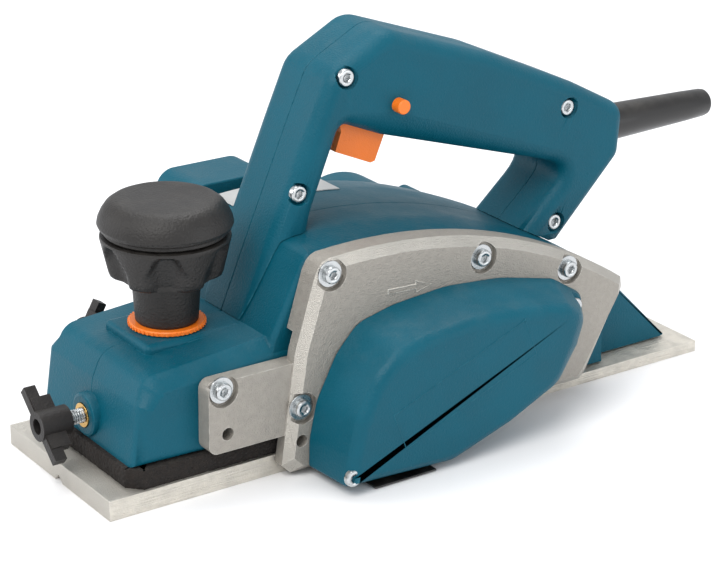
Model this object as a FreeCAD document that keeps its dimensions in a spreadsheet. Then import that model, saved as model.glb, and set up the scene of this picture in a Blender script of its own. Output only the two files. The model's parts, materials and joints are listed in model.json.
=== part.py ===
# Electric hand planer, as an assembly of the pieces it is bolted together from.
# Millimetres. +X points to the back, where the cord guard is, -Y is the belt side, +Z is up.
# The origin is the middle of the base, on the running face of the soles.
import FreeCAD, Part
import math
import os
import re
import Sketcher
from FreeCAD import Placement, Rotation, Vector

# ---------------------------------------------------------------- driving dimensions
# Places written as "back" or "rise" are measured from the cutter drum's axis, which the
# whole machine is built around.
SIZES = (
    # base
    ("base_length", 300, "front shoe's front edge to rear sole's back edge"),
    ("base_width", 82, "width of the soles, and of the cut"),
    ("shoe_thickness", 8.6, "front shoe plate"),
    ("sole_thickness", 5, "rear sole plate"),
    ("sole_pad", 0.8, "raised strip on the rear sole that the housing stands on"),
    ("shoe_travel", 2.5, "largest depth of cut"),
    ("groove_width", 6, "V groove along the front shoe's running face"),
    # cutter
    ("drum_x", -38, "cutter drum axis"),
    ("blade_clear", 0.2, "blade circle above the running face when the machine rests"),
    ("drum_radius", 21.5, "cutter drum body"),
    ("blade_radius", 23.8, "circle that the blade edges cut"),
    ("blade_thick", 1.2, "reversible blade"),
    ("clamp_thick", 6, "blade clamping bar"),
    ("slot_depth", 9, "blade slot in the drum"),
    ("throat_gap", 2.2, "drum to chamber wall, and blade circle to shoe"),
    ("drum_shaft_r", 5, "drum shaft"),
    # drive
    ("motor_back", 65, "motor axis behind the drum axis"),
    ("motor_rise", 23.5, "motor axis above the drum axis"),
    ("motor_shaft_r", 4, "motor shaft"),
    ("drum_pulley_r", 15, "toothed pulley on the drum"),
    ("motor_pulley_r", 8.5, "toothed pulley on the motor"),
    ("belt_width", 10, "toothed belt"),
    ("belt_thick", 2.4, "toothed belt"),
    ("fit", 0.05, "radial clearance of a shaft that turns in its bore"),
    ("gap", 0.3, "clearance between pieces that pass each other"),
    ("bearing_r", 13, "ball bearing outside radius"),
    ("bearing_wide", 8, "ball bearing width"),
    ("core_r", 17, "armature core"),
    ("air_gap", 0.6, "armature to stator"),
    ("stator_r", 27, "stator core"),
    ("core_long", 36, "armature and stator stack"),
    ("fan_r", 23, "cooling fan"),
    ("commutator_r", 11, "commutator"),
    # housing
    ("wall", 3, "moulded wall"),
    ("seam", 0.1, "gap between the two housing shells"),
    ("housing_near", 37, "housing half width on the belt side"),
    ("nose_half", 38, "nose half width"),
    ("nose_front", 99, "nose front face ahead of the drum axis"),
    ("nose_z", 16.5, "nose lower edge"),
    ("hood_rise", 32, "hood top above the drum axis"),
    ("arc_back", 3, "centre of the body's top arc behind the drum axis"),
    ("arc_drop", 169, "centre of the body's top arc below the drum axis"),
    ("arc_radius", 235, "body's top arc"),
    ("tail_back", 179.5, "tip of the tail behind the drum axis"),
    ("tail_half", 30, "tail half width"),
    ("gasket_half", 40.5, "foam gasket half width"),
    ("fence_side", 11.2, "square socket for the fence bar"),
    ("fence_ahead", 85.8, "fence socket centre ahead of the drum axis"),
    ("fence_z", 25.4, "fence socket centre"),
    # side plate and belt cover
    ("plate_gap", 0.5, "sole edge to side plate"),
    ("plate_thick", 8.5, "side plate"),
    ("plate_chamfer", 3.6, "bright bevel along the side plate's top"),
    ("rim_wide", 7, "side plate's rim that reaches in to the housing"),
    ("lug_drop", 4, "lug face below the side plate's face"),
    ("seat_deep", 2.6, "washer seats sunk into the side plate"),
    ("stud_back", 5, "wing screw studs' blind end in their knobs"),
    ("cover_deep", 26.5, "belt cover"),
    ("cover_wall", 2.5, "belt cover wall"),
    ("vent_wide", 3.6, "vent slots in the belt cover"),
    ("far_plate_thick", 4, "bearing plate on the far side"),
    ("chute_out", 27, "chip chute beyond the bearing plate"),
    ("cap_out", 25, "motor end cap beyond the bearing plate"),
    ("cap_r", 28.5, "motor end cap"),
    # depth knob
    ("knob_ahead", 61.6, "depth knob axis ahead of the drum axis"),
    ("ring_r", 15.8, "depth scale ring"),
    ("neck_r", 12.5, "knob neck"),
    ("grip_r", 26, "knob grip"),
    ("cap_top_r", 19, "flat on the knob cap"),
    ("spindle_r", 5, "threaded depth spindle"),
    ("post_r", 9, "threaded post on the shoe"),
    ("pin_r", 4, "shoe guide pins"),
    ("pin_spread", 22, "guide pins from the middle"),
    ("pin_gap", 14, "guide pins ahead of the drum's chamber"),
    # handle
    ("handle_half", 19.5, "handle half width"),
    ("handle_wall", 3, "handle wall"),
    ("trigger_half", 8, "trigger half width"),
    ("trigger_pin_r", 1.5, "trigger pivot"),
    ("lock_r", 3, "lock button"),
    ("lock_travel", 4, "lock button travel"),
    # cord guard
    ("guard_root_r", 8.2, "cord guard at the handle"),
    ("guard_tip_r", 6.3, "cord guard at its end"),
    ("guard_bore", 3.9, "cord hole"),
    ("guard_rise", 76.6, "cord guard axis above the drum axis"),
    ("guard_start", 146, "cord guard's inner end behind the drum axis"),
    ("guard_long", 76, "cord guard"),
    # fasteners and clamps
    ("screw_r", 2.2, "screw shanks"),
    ("head_r", 3.6, "screw heads"),
    ("head_high", 2.6, "screw heads"),
    ("washer_r", 5.4, "plate screw washers"),
    ("washer_thick", 0.9, "plate screw washers"),
    ("recess_r", 4.6, "handle screw recesses"),
    ("stud_r", 3, "wing screw studs"),
    ("guide_bore", 2.6, "threaded holes for a guide fence"),
    ("stop_travel", 12, "rebate stop travel"),
)
NAMES = {entry[0] for entry in SIZES}
DERIVED = {
    "drum_z": "blade_radius + blade_clear",
    "motor_x": "drum_x + motor_back",
    "motor_z": "drum_z + motor_rise",
    "half": "base_width / 2",
    "plate_in": "-half - plate_gap",
    "plate_out": "plate_in - plate_thick",
    "far_in": "half + plate_gap",
    "far_out": "far_in + far_plate_thick",
    "pulley_out": "plate_out - belt_width - 5",
    "knob_x": "drum_x - knob_ahead",
    "hood_z": "drum_z + hood_rise",
    "knob_z": "hood_z + 0.5",
    "chamber": "blade_radius + throat_gap",
    "pin_ahead": "chamber + pin_gap",
    "guard_z": "drum_z + guard_rise",
    "slot_start": "drum_radius - slot_depth",
    "block_z": "nose_z + 5.5",
    "stack_start": "-core_long / 2 + 4",
}

doc = FreeCAD.newDocument("hand_planer")
sheet = doc.addObject("Spreadsheet::Sheet", "Sizes")
for row, (alias, amount, note) in enumerate(SIZES, 1):
    sheet.set(f"A{row}", alias)
    sheet.set(f"B{row}", str(amount))
    sheet.set(f"C{row}", note)
    sheet.setAlias(f"B{row}", alias)
doc.recompute()


def mm(name):
    """The sheet's value of one named size."""
    return float(sheet.get(name))


# ---------------------------------------------------------------- places used by many pieces
FRONT = -mm("base_length") / 2
BACK = mm("base_length") / 2
HALF = mm("base_width") / 2
DRUM = Vector(mm("drum_x"), 0, mm("blade_radius") + mm("blade_clear"))
MOTOR = DRUM + Vector(mm("motor_back"), 0, mm("motor_rise"))
KNOB_X = DRUM.x - mm("knob_ahead")
PLATE_IN = -(HALF + mm("plate_gap"))
PLATE_OUT = PLATE_IN - mm("plate_thick")
COVER_OUT = PLATE_OUT - mm("cover_deep")
FAR_IN = HALF + mm("plate_gap")
FAR_OUT = FAR_IN + mm("far_plate_thick")
NEAR = -mm("housing_near")
FAR = HALF
CHAMBER = mm("blade_radius") + mm("throat_gap")
HOOD = DRUM.z + mm("hood_rise")
PIN_AHEAD = CHAMBER + mm("pin_gap")
GUARD_Z = DRUM.z + mm("guard_rise")
WING_Z = mm("fence_z") + 0.6
SEAM = mm("seam") / 2
HEX_R = 1.7  # corner radius of the hexagon socket in the screw heads
SEAT_Z = mm("sole_thickness") + mm("sole_pad")
HANDLE = mm("handle_half")

TURN = {"X": Rotation(Vector(0, 1, 0), 90), "Y": Rotation(Vector(1, 0, 0), -90), "Z": Rotation()}
AXIS = {"X": Vector(1, 0, 0), "Y": Vector(0, 1, 0), "Z": Vector(0, 0, 1)}
nodes = []


def back(distance, rise=0.0, y=0.0):
    """A point measured from the drum axis."""
    return Vector(DRUM.x + distance, y, DRUM.z + rise)


# ---------------------------------------------------------------- ways of making a piece
def link(expression):
    """Names of the sheet's cells in an expression become references to the sheet."""
    def replacement(word):
        if word.group() in DERIVED:
            return "(" + link(DERIVED[word.group()]) + ")"
        return "Sizes." + word.group() if word.group() in NAMES else word.group()
    return re.sub(r"[a-z_]+", replacement, str(expression))


def bind(piece, **sizes):
    for name, expression in sizes.items():
        piece.setExpression(name, link(expression))


def place(piece, x="0", y="0", z="0", axis="Z"):
    piece.Placement = Placement(Vector(), TURN[axis])
    for letter, expression in (("x", x), ("y", y), ("z", z)):
        piece.setExpression(f"Placement.Base.{letter}", link(expression))
    return piece


def node(piece, label=None):
    """A finished sub-part: its label is its file's name."""
    piece.Label = label or piece.Name
    nodes.append(piece)
    return piece


def rod(name, axis, x, y, z, radius, length):
    piece = doc.addObject("Part::Cylinder", name)
    bind(piece, Radius=radius, Height=length)
    return place(piece, x, y, z, axis)


def block(name, x, y, z, length, width, height):
    piece = doc.addObject("Part::Box", name)
    bind(piece, Length=length, Width=width, Height=height)
    return place(piece, x, y, z)


def cut(name, base, *tools):
    """Take each tool away from the base, one after the other."""
    for number, tool in enumerate(tools, 1):
        piece = doc.addObject("Part::Cut", name if number == len(tools) else f"{name}_cut_{number}")
        piece.Base = base
        piece.Tool = tool
        base = piece
    return base


def fuse(name, *parts):
    piece = doc.addObject("Part::MultiFuse", name)
    piece.Shapes = list(parts)
    return piece


def group(name, *parts):
    """Separate solids that share a node."""
    piece = doc.addObject("Part::Compound", name)
    piece.Links = list(parts)
    return piece


def bound_sketch(body, role, corners):
    """A closed outline whose every corner is tied to the sheet."""
    plane = [item for item in body.Origin.OriginFeatures if item.Role == role][0]
    sketch = body.newObject("Sketcher::SketchObject", body.Name + "_outline")
    sketch.AttachmentSupport = [(plane, "")]
    sketch.MapMode = "FlatFace"
    count = len(corners)
    for number in range(count):
        angle = 2 * math.pi * number / count
        after = 2 * math.pi * (number + 1) / count
        sketch.addGeometry(Part.LineSegment(Vector(20 * math.cos(angle), 20 * math.sin(angle), 0),
                                            Vector(20 * math.cos(after), 20 * math.sin(after), 0)), False)
    for number, corner in enumerate(corners):
        sketch.addConstraint(Sketcher.Constraint("Coincident", number, 2, (number + 1) % count, 1))
        start = sketch.Geometry[number].StartPoint
        for kind, guess, expression in zip(("DistanceX", "DistanceY"), (start.x, start.y), corner):
            index = sketch.addConstraint(Sketcher.Constraint(kind, -1, 1, number, 1, guess))
            sketch.setExpression(f"Constraints[{index}]", link(expression))
    return sketch


def turned(name, axis, x, y, z, profile):
    """A lathe piece: profile corners are (radius, distance along the axis)."""
    body = doc.addObject("PartDesign::Body", name)
    sketch = bound_sketch(body, "XZ_Plane", profile)
    revolution = body.newObject("PartDesign::Revolution", name + "_turn")
    revolution.Profile = sketch
    revolution.ReferenceAxis = (sketch, ["V_Axis"])
    revolution.Angle = 360
    return place(body, x, y, z, axis)


def padded(name, corners, width):
    """An extrusion across the machine: corners are (x, z), centred on Y = 0."""
    body = doc.addObject("PartDesign::Body", name)
    sketch = bound_sketch(body, "XZ_Plane", corners)
    pad = body.newObject("PartDesign::Pad", name + "_pad")
    pad.Profile = sketch
    pad.Midplane = True
    pad.setExpression("Length", link(width))
    return body


def feature(name, shape):
    """A moulded or cast form that only Part's own functions can make."""
    piece = doc.addObject("Part::Feature", name)
    piece.Shape = shape
    return node(piece)


def outline(corners):
    """A closed wire in the XZ plane; a corner (x, z, radius) is rounded with an arc."""
    points = [Vector(corner[0], 0, corner[1]) for corner in corners]
    radii = [corner[2] if len(corner) > 2 else 0 for corner in corners]
    count = len(points)
    entries, exits, middles = [], [], []
    for number in range(count):
        here = points[number]
        to_last = (points[number - 1] - here).normalize()
        to_next = (points[(number + 1) % count] - here).normalize()
        half = to_last.getAngle(to_next) / 2
        reach = radii[number] / math.tan(half)
        entries.append(here + to_last * reach)
        exits.append(here + to_next * reach)
        inward = (to_last + to_next).normalize()
        middles.append(here + inward * (radii[number] / math.sin(half) - radii[number]))
    edges = []
    for number in range(count):
        if radii[number]:
            edges.append(Part.Arc(entries[number], middles[number], exits[number]).toShape())
        start, end = exits[number], entries[(number + 1) % count]
        if (end - start).Length > 1e-4:
            edges.append(Part.LineSegment(start, end).toShape())
    return Part.Wire(edges)


def slab(wire, low, high):
    """The outline's face, from Y = low to Y = high."""
    face = Part.Face(wire)
    face.translate(Vector(0, low, 0))
    return face.extrude(Vector(0, high - low, 0))


def shrink(wire, amount):
    return wire.makeOffset2D(-amount, 2)


def shaft(centre, axis, radius, low, high):
    """A plain cylinder along one row axis between two stations."""
    direction = AXIS[axis]
    start = Vector(centre) - direction * Vector(centre).dot(direction) + direction * low
    return Part.makeCylinder(radius, high - low, start, direction)


def box_between(low, high):
    low, high = Vector(*low), Vector(*high)
    size = high - low
    return Part.makeBox(size.x, size.y, size.z, low)


# ---------------------------------------------------------------- outlines that several pieces share
def arc_z(x, inset=0.0):
    """Height of the body's top arc."""
    centre_x = DRUM.x + mm("arc_back")
    return DRUM.z - mm("arc_drop") + math.sqrt((mm("arc_radius") - inset) ** 2 - (x - centre_x) ** 2)


def arc_points(start, end, inset, count=3):
    """Points along the body's top arc, for a curve through them."""
    return [Vector(start + (end - start) * step / (count - 1), 0,
                   arc_z(start + (end - start) * step / (count - 1), inset)) for step in range(count)]


BROW_X = DRUM.x - 15
ARC_END = DRUM.x + 135.4
NOSE_X = DRUM.x - mm("nose_front")
TAIL_X = DRUM.x + mm("tail_back")


def chain(*pieces):
    """Points and three-point arcs, joined in order into one closed wire."""
    edges = []
    last = None
    for piece in pieces:
        if isinstance(piece, list):
            if last and (last - piece[0]).Length > 1e-4:
                edges.append(Part.LineSegment(last, piece[0]).toShape())
            edges.append(Part.Arc(*piece).toShape())
            last = piece[-1]
        else:
            if last:
                edges.append(Part.LineSegment(last, piece).toShape())
            last = piece
    first = edges[0].Vertexes[0].Point
    if (last - first).Length > 1e-4:
        edges.append(Part.LineSegment(last, first).toShape())
    return Part.Wire(edges)


def body_outline(inset=0.0):
    """The housing from the side: nose, hood, arched body, tail wedge, and the drum's chamber below."""
    reach = CHAMBER + inset
    floor = SEAT_Z + inset
    nose_floor = mm("nose_z") + inset
    back_x = DRUM.x + math.sqrt(reach ** 2 - (DRUM.z - floor) ** 2)
    front_x = DRUM.x - math.sqrt(reach ** 2 - (DRUM.z - nose_floor) ** 2)
    hood = HOOD - inset
    tail_top = Vector(ARC_END - inset * 0.4, 0, arc_z(ARC_END, inset))
    return chain(
        Vector(NOSE_X + inset, 0, nose_floor),
        Vector(NOSE_X + 3.6 + inset, 0, hood - 12),
        [Vector(NOSE_X + 4 + inset, 0, hood - 9), Vector(NOSE_X + 6 + inset, 0, hood - 5.2),
         Vector(NOSE_X + 11, 0, hood - 3.4)],
        Vector(DRUM.x - 36, 0, hood),
        Vector(DRUM.x - 22.6 + inset * 0.6, 0, hood + 27),
        [Vector(DRUM.x - 21 + inset * 0.8, 0, hood + 30), Vector(DRUM.x - 18.5 + inset * 0.5, 0, hood + 32.4),
         Vector(BROW_X, 0, arc_z(BROW_X, inset))],
        arc_points(BROW_X, tail_top.x, inset),
        Vector(TAIL_X - inset * 1.4, 0, floor + 0.4 + inset * 0.2),
        Vector(TAIL_X - inset * 1.4, 0, floor),
        [Vector(back_x, 0, floor), Vector(DRUM.x + 3, 0, DRUM.z + math.sqrt(reach ** 2 - 9)),
         Vector(front_x, 0, nose_floor)],
    )


def plate_outline(inset=0.0):
    """The die-cast side plate from the side."""
    top = ARC_END - inset
    brow = BROW_X + inset * 0.5
    return chain(
        Vector(DRUM.x - 33.5 + inset, 0, 2 + inset),
        Vector(DRUM.x - 37.5 + inset, 0, 6 + inset),
        Vector(DRUM.x - 31.5 + inset, 0, HOOD - 3),
        Vector(DRUM.x - 22.6 + inset * 0.9, 0, HOOD + 27 - inset * 0.5),
        [Vector(DRUM.x - 21 + inset * 0.8, 0, HOOD + 30 - inset * 0.6),
         Vector(DRUM.x - 18.5 + inset * 0.6, 0, HOOD + 32.4 - inset * 0.85),
         Vector(brow, 0, arc_z(brow, inset))],
        arc_points(brow, top, inset),
        Vector(top + 0.8 - inset * 0.3, 0, arc_z(top, inset) - 4.5),
        Vector(DRUM.x + 118 - inset * 1.1, 0, 9.5 + inset),
        Vector(DRUM.x + 115 - inset, 0, SEAT_Z + 0.5 + inset),
        Vector(DRUM.x + 34, 0, SEAT_Z + 0.5 + inset),
        Vector(DRUM.x + 26, 0, 2 + inset),
    )


# ---------------------------------------------------------------- the base: front shoe and rear sole
def wedge_bar(name, x, z, width, length):
    """A square bar stood on its edge, for a V groove that runs along X."""
    bar = doc.addObject("Part::Box", name)
    bind(bar, Length=length, Width=f"({width}) / sqrt(2)", Height=f"({width}) / sqrt(2)")
    bar.Placement = Placement(Vector(), Rotation(Vector(1, 0, 0), 45))
    bar.setExpression("Placement.Base.x", link(x))
    bar.setExpression("Placement.Base.z", link(f"{z} - ({width}) / 2"))
    return bar


def make_base():
    shoe_end = "drum_x - sqrt((blade_radius + throat_gap)^2 - (drum_z - shoe_thickness - shoe_travel)^2)"
    shoe = padded("shoe_plate", (
        ("-base_length / 2", "0"), (shoe_end, "0"), (shoe_end, "shoe_thickness"),
        ("-base_length / 2", "shoe_thickness")), "base_width")
    groove = wedge_bar("shoe_groove", "-base_length / 2 - 1", "0", "groove_width", "base_length")
    node(cut("front_shoe", shoe, groove))
    throat = "drum_x + sqrt((blade_radius + throat_gap)^2 - (drum_z - sole_thickness)^2)"
    sole = padded("sole_plate", (
        (f"{throat} - 2", "0"), ("base_length / 2", "0"), ("base_length / 2", "sole_thickness"),
        (throat, "sole_thickness")), "base_width")
    seat = block("sole_seat", f"{throat} + 2", "-tail_half + 4", "sole_thickness",
                 "tail_back - 30", "2 * (tail_half - 4)", "sole_pad")
    screws, holes = [], []
    for number, (distance, y) in enumerate(((34, 14), (34, -14), (120, 14), (120, -14))):
        screws.append(countersunk(f"sole_screw_{number}", f"drum_x + {distance}", y, 0))
        holes.append(countersunk(f"sole_hole_{number}", f"drum_x + {distance}", y, 0))
    node(cut("rear_sole", fuse("sole_blank", sole, seat), group("sole_holes", *holes)))
    node(group("sole_screws", *screws))
    gasket = block("gasket_blank", "drum_x - nose_front - 3.3", "-gasket_half", "shoe_thickness",
                   "nose_front + 3.3 - blade_radius - throat_gap",
                   "2 * gasket_half", "nose_z - shoe_thickness")
    middle = block("gasket_middle", "drum_x - nose_front + 5", "-gasket_half + 8", "shoe_thickness - 1",
                   "nose_front - 11 - blade_radius - throat_gap", "2 * gasket_half - 16", "nose_z")
    node(cut("shoe_gasket", gasket, middle))


def countersunk(name, x, y, z):
    """A flat-headed screw whose head is flush with the running face."""
    body = turned(name, "Z", x, y, z, (
        ("0", "0.3"), ("2 * screw_r", "0.3"), ("screw_r", "0.3 + screw_r"), ("screw_r", "13"), ("0", "13")))
    return body


def make_shoe_guides():
    top = "knob_z - shoe_thickness - 18"
    node(turned("shoe_post", "Z", "knob_x", "0", "shoe_thickness", (
        ("0", "0"), ("post_r + 6", "0"), ("post_r + 6", "4"), ("post_r", "6"), ("post_r", top),
        ("spindle_r + fit", top), ("spindle_r + fit", "2"), ("0", "2"))))
    pins, holes, springs = [], [], []
    for number, side in enumerate((1, -1)):
        y = f"{side} * pin_spread"
        pins.append(rod(f"guide_pin_{number}", "Z", "drum_x - pin_ahead", y, "shoe_thickness", "pin_r",
                        "block_z + 14 - shoe_thickness"))
        holes.append(rod(f"guide_hole_{number}", "Z", "drum_x - pin_ahead", y,
                         "block_z - 1", "pin_r + fit", "30"))
        springs.append(coil_spring(Vector(DRUM.x - PIN_AHEAD, side * mm("pin_spread"), 0)))
    node(group("guide_pins", *pins))
    bar = block("guide_bar", "drum_x - pin_ahead - 8", "wall - housing_near", "block_z",
                "16", "housing_near + nose_half - 2 * wall", "18")
    node(cut("guide_block", bar, group("guide_holes", *holes)))
    feature("shoe_springs", Part.makeCompound(springs))


def coil_spring(foot):
    """A compression spring round a guide pin, between the shoe and the guide block."""
    wire_r = 0.7
    low = mm("shoe_thickness") + wire_r + 0.1
    high = mm("nose_z") + 5.5 - wire_r - 0.1
    coil_r = mm("pin_r") + 2
    helix = Part.makeHelix((high - low) / 5, high - low, coil_r)
    helix.translate(Vector(foot.x, foot.y, low))
    section = Part.Wire(Part.makeCircle(wire_r, Vector(foot.x + coil_r, foot.y, low), Vector(0, 1, 0)))
    return Part.Wire(helix.Edges).makePipeShell([section], True, True)


# ---------------------------------------------------------------- depth knob
def make_knob():
    node(rod("depth_spindle", "Z", "knob_x", "0", "shoe_thickness + shoe_travel + 4", "spindle_r",
             "knob_z + 18 - shoe_thickness - shoe_travel - 4"))
    node(turned("depth_ring", "Z", "knob_x", "0", "knob_z", (
        ("neck_r", "0"), ("ring_r", "0"), ("ring_r", "1.2"), ("ring_r - 1", "1.8"), ("neck_r", "1.8"))))
    body = turned("knob_blank", "Z", "knob_x", "0", "knob_z", (
        ("spindle_r", "0.2"), ("neck_r", "0.2"), ("neck_r", "2"), ("neck_r + 1.5", "19.5"),
        ("grip_r - 4.5", "21"), ("grip_r - 3.4", "22.5"), ("grip_r", "37.5"), ("grip_r", "38.4"),
        ("0", "38.4"), ("0", "18"), ("spindle_r", "18")))
    scallops = []
    for step in range(6):
        angle = math.radians(60 * step + 12)
        scallops.append(rod(f"scallop_{step}", "Z", f"knob_x + (grip_r + 13) * {math.cos(angle):.4f}",
                            f"(grip_r + 13) * {math.sin(angle):.4f}", "knob_z + 19", "16", "15"))
    node(cut("knob_body", body, group("scallops", *scallops)))
    node(turned("knob_cap", "Z", "knob_x", "0", "knob_z + 38.8", (
        ("0", "0"), ("grip_r", "0"), ("grip_r + 0.8", "4"), ("grip_r + 0.6", "7.5"), ("grip_r - 1.4", "11"),
        ("cap_top_r + 2", "13.4"), ("cap_top_r", "13.8"), ("0", "13.8"))))


# ---------------------------------------------------------------- cutter drum
def make_cutter():
    node(turned("drum_shaft", "Y", "drum_x", "pulley_out", "drum_z", (
        ("0", "0"), ("drum_shaft_r - 0.6", "0"), ("drum_shaft_r", "0.6"),
        ("drum_shaft_r", "far_in + bearing_wide - pulley_out"), ("0", "far_in + bearing_wide - pulley_out"))))
    blank = rod("drum_blank", "Y", "drum_x", "-half", "drum_z", "drum_radius", "base_width")
    bore = rod("drum_bore", "Y", "drum_x", "-half - 1", "drum_z", "drum_shaft_r", "base_width + 2")
    slots, blades, bars, bar_holes, screws = [], [], [], [], []
    for number, side in enumerate((1, -1)):
        turn = Rotation(Vector(0, 1, 0), 0 if side > 0 else 180)

        def radial_box(name, start, low, length, height, inset):
            piece = doc.addObject("Part::Box", name)
            bind(piece, Length=length, Width=f"base_width - 2 * ({inset})", Height=height)
            piece.Placement = Placement(Vector(), turn)
            piece.setExpression("Placement.Base.x", link(f"drum_x + {side} * ({start})"))
            piece.setExpression("Placement.Base.y", link(f"-half + {inset}"))
            piece.setExpression("Placement.Base.z", link(f"drum_z + {side} * ({low})"))
            return piece
        slots.append(radial_box(f"slot_{number}", "slot_start", "-clamp_thick", "slot_depth + 2",
                                "clamp_thick + blade_thick", "-1"))
        blades.append(radial_box(f"blade_{number}", "slot_start", "0", "blade_radius - slot_start",
                                 "blade_thick", "0"))
        bars.append(radial_box(f"bar_{number}", "slot_start", "-clamp_thick", "slot_depth - 0.6",
                               "clamp_thick", "0.5"))
        for place_y in (-0.36, 0, 0.36):
            y = f"{place_y} * base_width"
            start = f"drum_x + {side} * (slot_start - 5)" if side > 0 else "drum_x - drum_radius + 1.2"
            low = f"drum_z - {side} * clamp_thick / 2"
            label = f"{number}_{len(screws)}"
            screws.append(rod(f"clamp_screw_{label}", "X", start, y, low, "1.8", "slot_depth + 3.8"))
            bar_holes.append(rod(f"clamp_hole_{label}", "X", start, y, low, "1.8", "slot_depth + 3.8"))
    holes = group("clamp_holes", *bar_holes)
    node(cut("cutter_drum", blank, bore, group("blade_slots", *slots), holes))
    node(group("blades", *blades))
    node(cut("blade_clamps", group("clamp_bars", *bars), holes))
    node(group("clamp_screws", *screws))


def ball_bearing(name, x, y, z, shaft_r):
    inner = f"{shaft_r} + fit"
    return turned(name, "Y", x, y, z, (
        (inner, "0"), (f"{inner} + 1.6", "0"), (f"{inner} + 1.6", "0.5"), ("bearing_r - 2", "0.5"),
        ("bearing_r - 2", "0"), ("bearing_r", "0"), ("bearing_r", "bearing_wide"), (inner, "bearing_wide")))


def make_bearings():
    """Two on the drum shaft and two on the motor shaft."""
    spots = (("drum_x", "plate_out", "drum_z", "drum_shaft_r"),
             ("drum_x", "far_in", "drum_z", "drum_shaft_r"),
             ("motor_x", "plate_out", "motor_z", "motor_shaft_r"),
             ("motor_x", "far_out + cap_out - 4 - bearing_wide", "motor_z", "motor_shaft_r"))
    node(group("ball_bearings", *[ball_bearing(f"bearing_{number}", *spot)
                                  for number, spot in enumerate(spots)]))


# ---------------------------------------------------------------- belt drive
def toothed_pulley(name, x, z, radius, shaft_r):
    """A flanged pulley with square teeth, on its shaft's end."""
    wheel = turned(name + "_blank", "Y", x, "pulley_out + 1", z, (
        (shaft_r, "0"), (f"{radius} + 1", "0"), (f"{radius} + 1", "1"), (radius, "1"),
        (radius, "belt_width + 2"), (f"{radius} + 1", "belt_width + 2"),
        (f"{radius} + 1", "belt_width + 3"), (shaft_r, "belt_width + 3")))
    notches = []
    count = max(8, int(2 * math.pi * mm(radius) / 5))
    for step in range(count):
        angle = 2 * math.pi * step / count
        notches.append(rod(f"{name}_notch_{step}", "Y", f"{x} + {radius} * {math.cos(angle):.4f}",
                           "pulley_out + 2", f"{z} + {radius} * {math.sin(angle):.4f}", "1",
                            "belt_width + 1"))
    return node(cut(name, wheel, group(name + "_notches", *notches)))


def belt_loop(clearance):
    """The outline round both pulleys: two arcs and their common tangents."""
    small, large = mm("motor_pulley_r") + clearance, mm("drum_pulley_r") + clearance
    line = MOTOR - DRUM
    lean = math.asin((large - small) / line.Length)
    along = math.atan2(line.z, line.x)

    def on(centre, radius, angle):
        return Vector(centre.x + radius * math.cos(angle), 0, centre.z + radius * math.sin(angle))
    up, down = along + math.pi / 2 - lean, along - math.pi / 2 + lean
    return chain([on(DRUM, large, up), on(DRUM, large, along + math.pi), on(DRUM, large, down)],
                 [on(MOTOR, small, down), on(MOTOR, small, along), on(MOTOR, small, up)])


def make_drive():
    toothed_pulley("drum_pulley", "drum_x", "drum_z", "drum_pulley_r", "drum_shaft_r")
    toothed_pulley("motor_pulley", "motor_x", "motor_z", "motor_pulley_r", "motor_shaft_r")
    low = PLATE_OUT - mm("belt_width") - 5 + 2.5
    high = low + mm("belt_width")
    outer = slab(belt_loop(mm("gap") + mm("belt_thick")), low, high)
    feature("drive_belt", outer.cut(slab(belt_loop(mm("gap")), low - 1, high + 1)))


# ---------------------------------------------------------------- motor
def collar(name, inner, outer, start, length):
    """A plain ring about the motor axis."""
    return turned(name, "Y", "motor_x", start, "motor_z", (
        (inner, "0"), (outer, "0"), (outer, length), (inner, length)))


def make_motor():
    node(turned("motor_shaft", "Y", "motor_x", "pulley_out", "motor_z", (
        ("0", "0"), ("motor_shaft_r - 0.6", "0"), ("motor_shaft_r", "0.6"),
        ("motor_shaft_r", "far_out + cap_out - 4 - pulley_out"),
        ("0", "far_out + cap_out - 4 - pulley_out"))))
    node(collar("armature_core", "motor_shaft_r", "core_r", "stack_start", "core_long"))
    ends = [collar(f"winding_{number}", "motor_shaft_r + 2", "core_r - 2", start, "7")
            for number, start in enumerate(("stack_start - 7", "stack_start + core_long"))]
    node(group("armature_windings", *ends))
    node(collar("commutator", "motor_shaft_r", "commutator_r", "far_out + 1", "9"))
    node(collar("stator_core", "core_r + air_gap", "stator_r", "stack_start", "core_long"))
    coils = [collar(f"coil_{number}", "core_r + 2", "stator_r - 1.5", start, "7")
             for number, start in enumerate(("stack_start - 7", "stack_start + core_long"))]
    node(group("stator_coils", *coils))
    make_fan()
    make_brushes()


def make_fan():
    start = "-housing_near + wall + 1.2"
    disc = collar("fan_disc", "motor_shaft_r", "fan_r", start, "1.4")
    hub = collar("fan_hub", "motor_shaft_r", "motor_shaft_r + 4", start, "7")
    blades = []
    for step in range(9):
        angle = 40 * step
        blade = doc.addObject("Part::Box", f"fan_blade_{step}")
        bind(blade, Length="fan_r - 10.5", Width="5", Height="1.2")
        blade.Placement = Placement(Vector(), Rotation(Vector(0, 1, 0), -angle))
        blade.setExpression("Placement.Base.x", link(f"motor_x + 10 * {math.cos(math.radians(angle)):.4f}"))
        blade.setExpression("Placement.Base.y", link(f"{start} + 1"))
        blade.setExpression("Placement.Base.z", link(f"motor_z + 10 * {math.sin(math.radians(angle)):.4f}"))
        blades.append(blade)
    node(fuse("fan", disc, hub, *blades))


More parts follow.
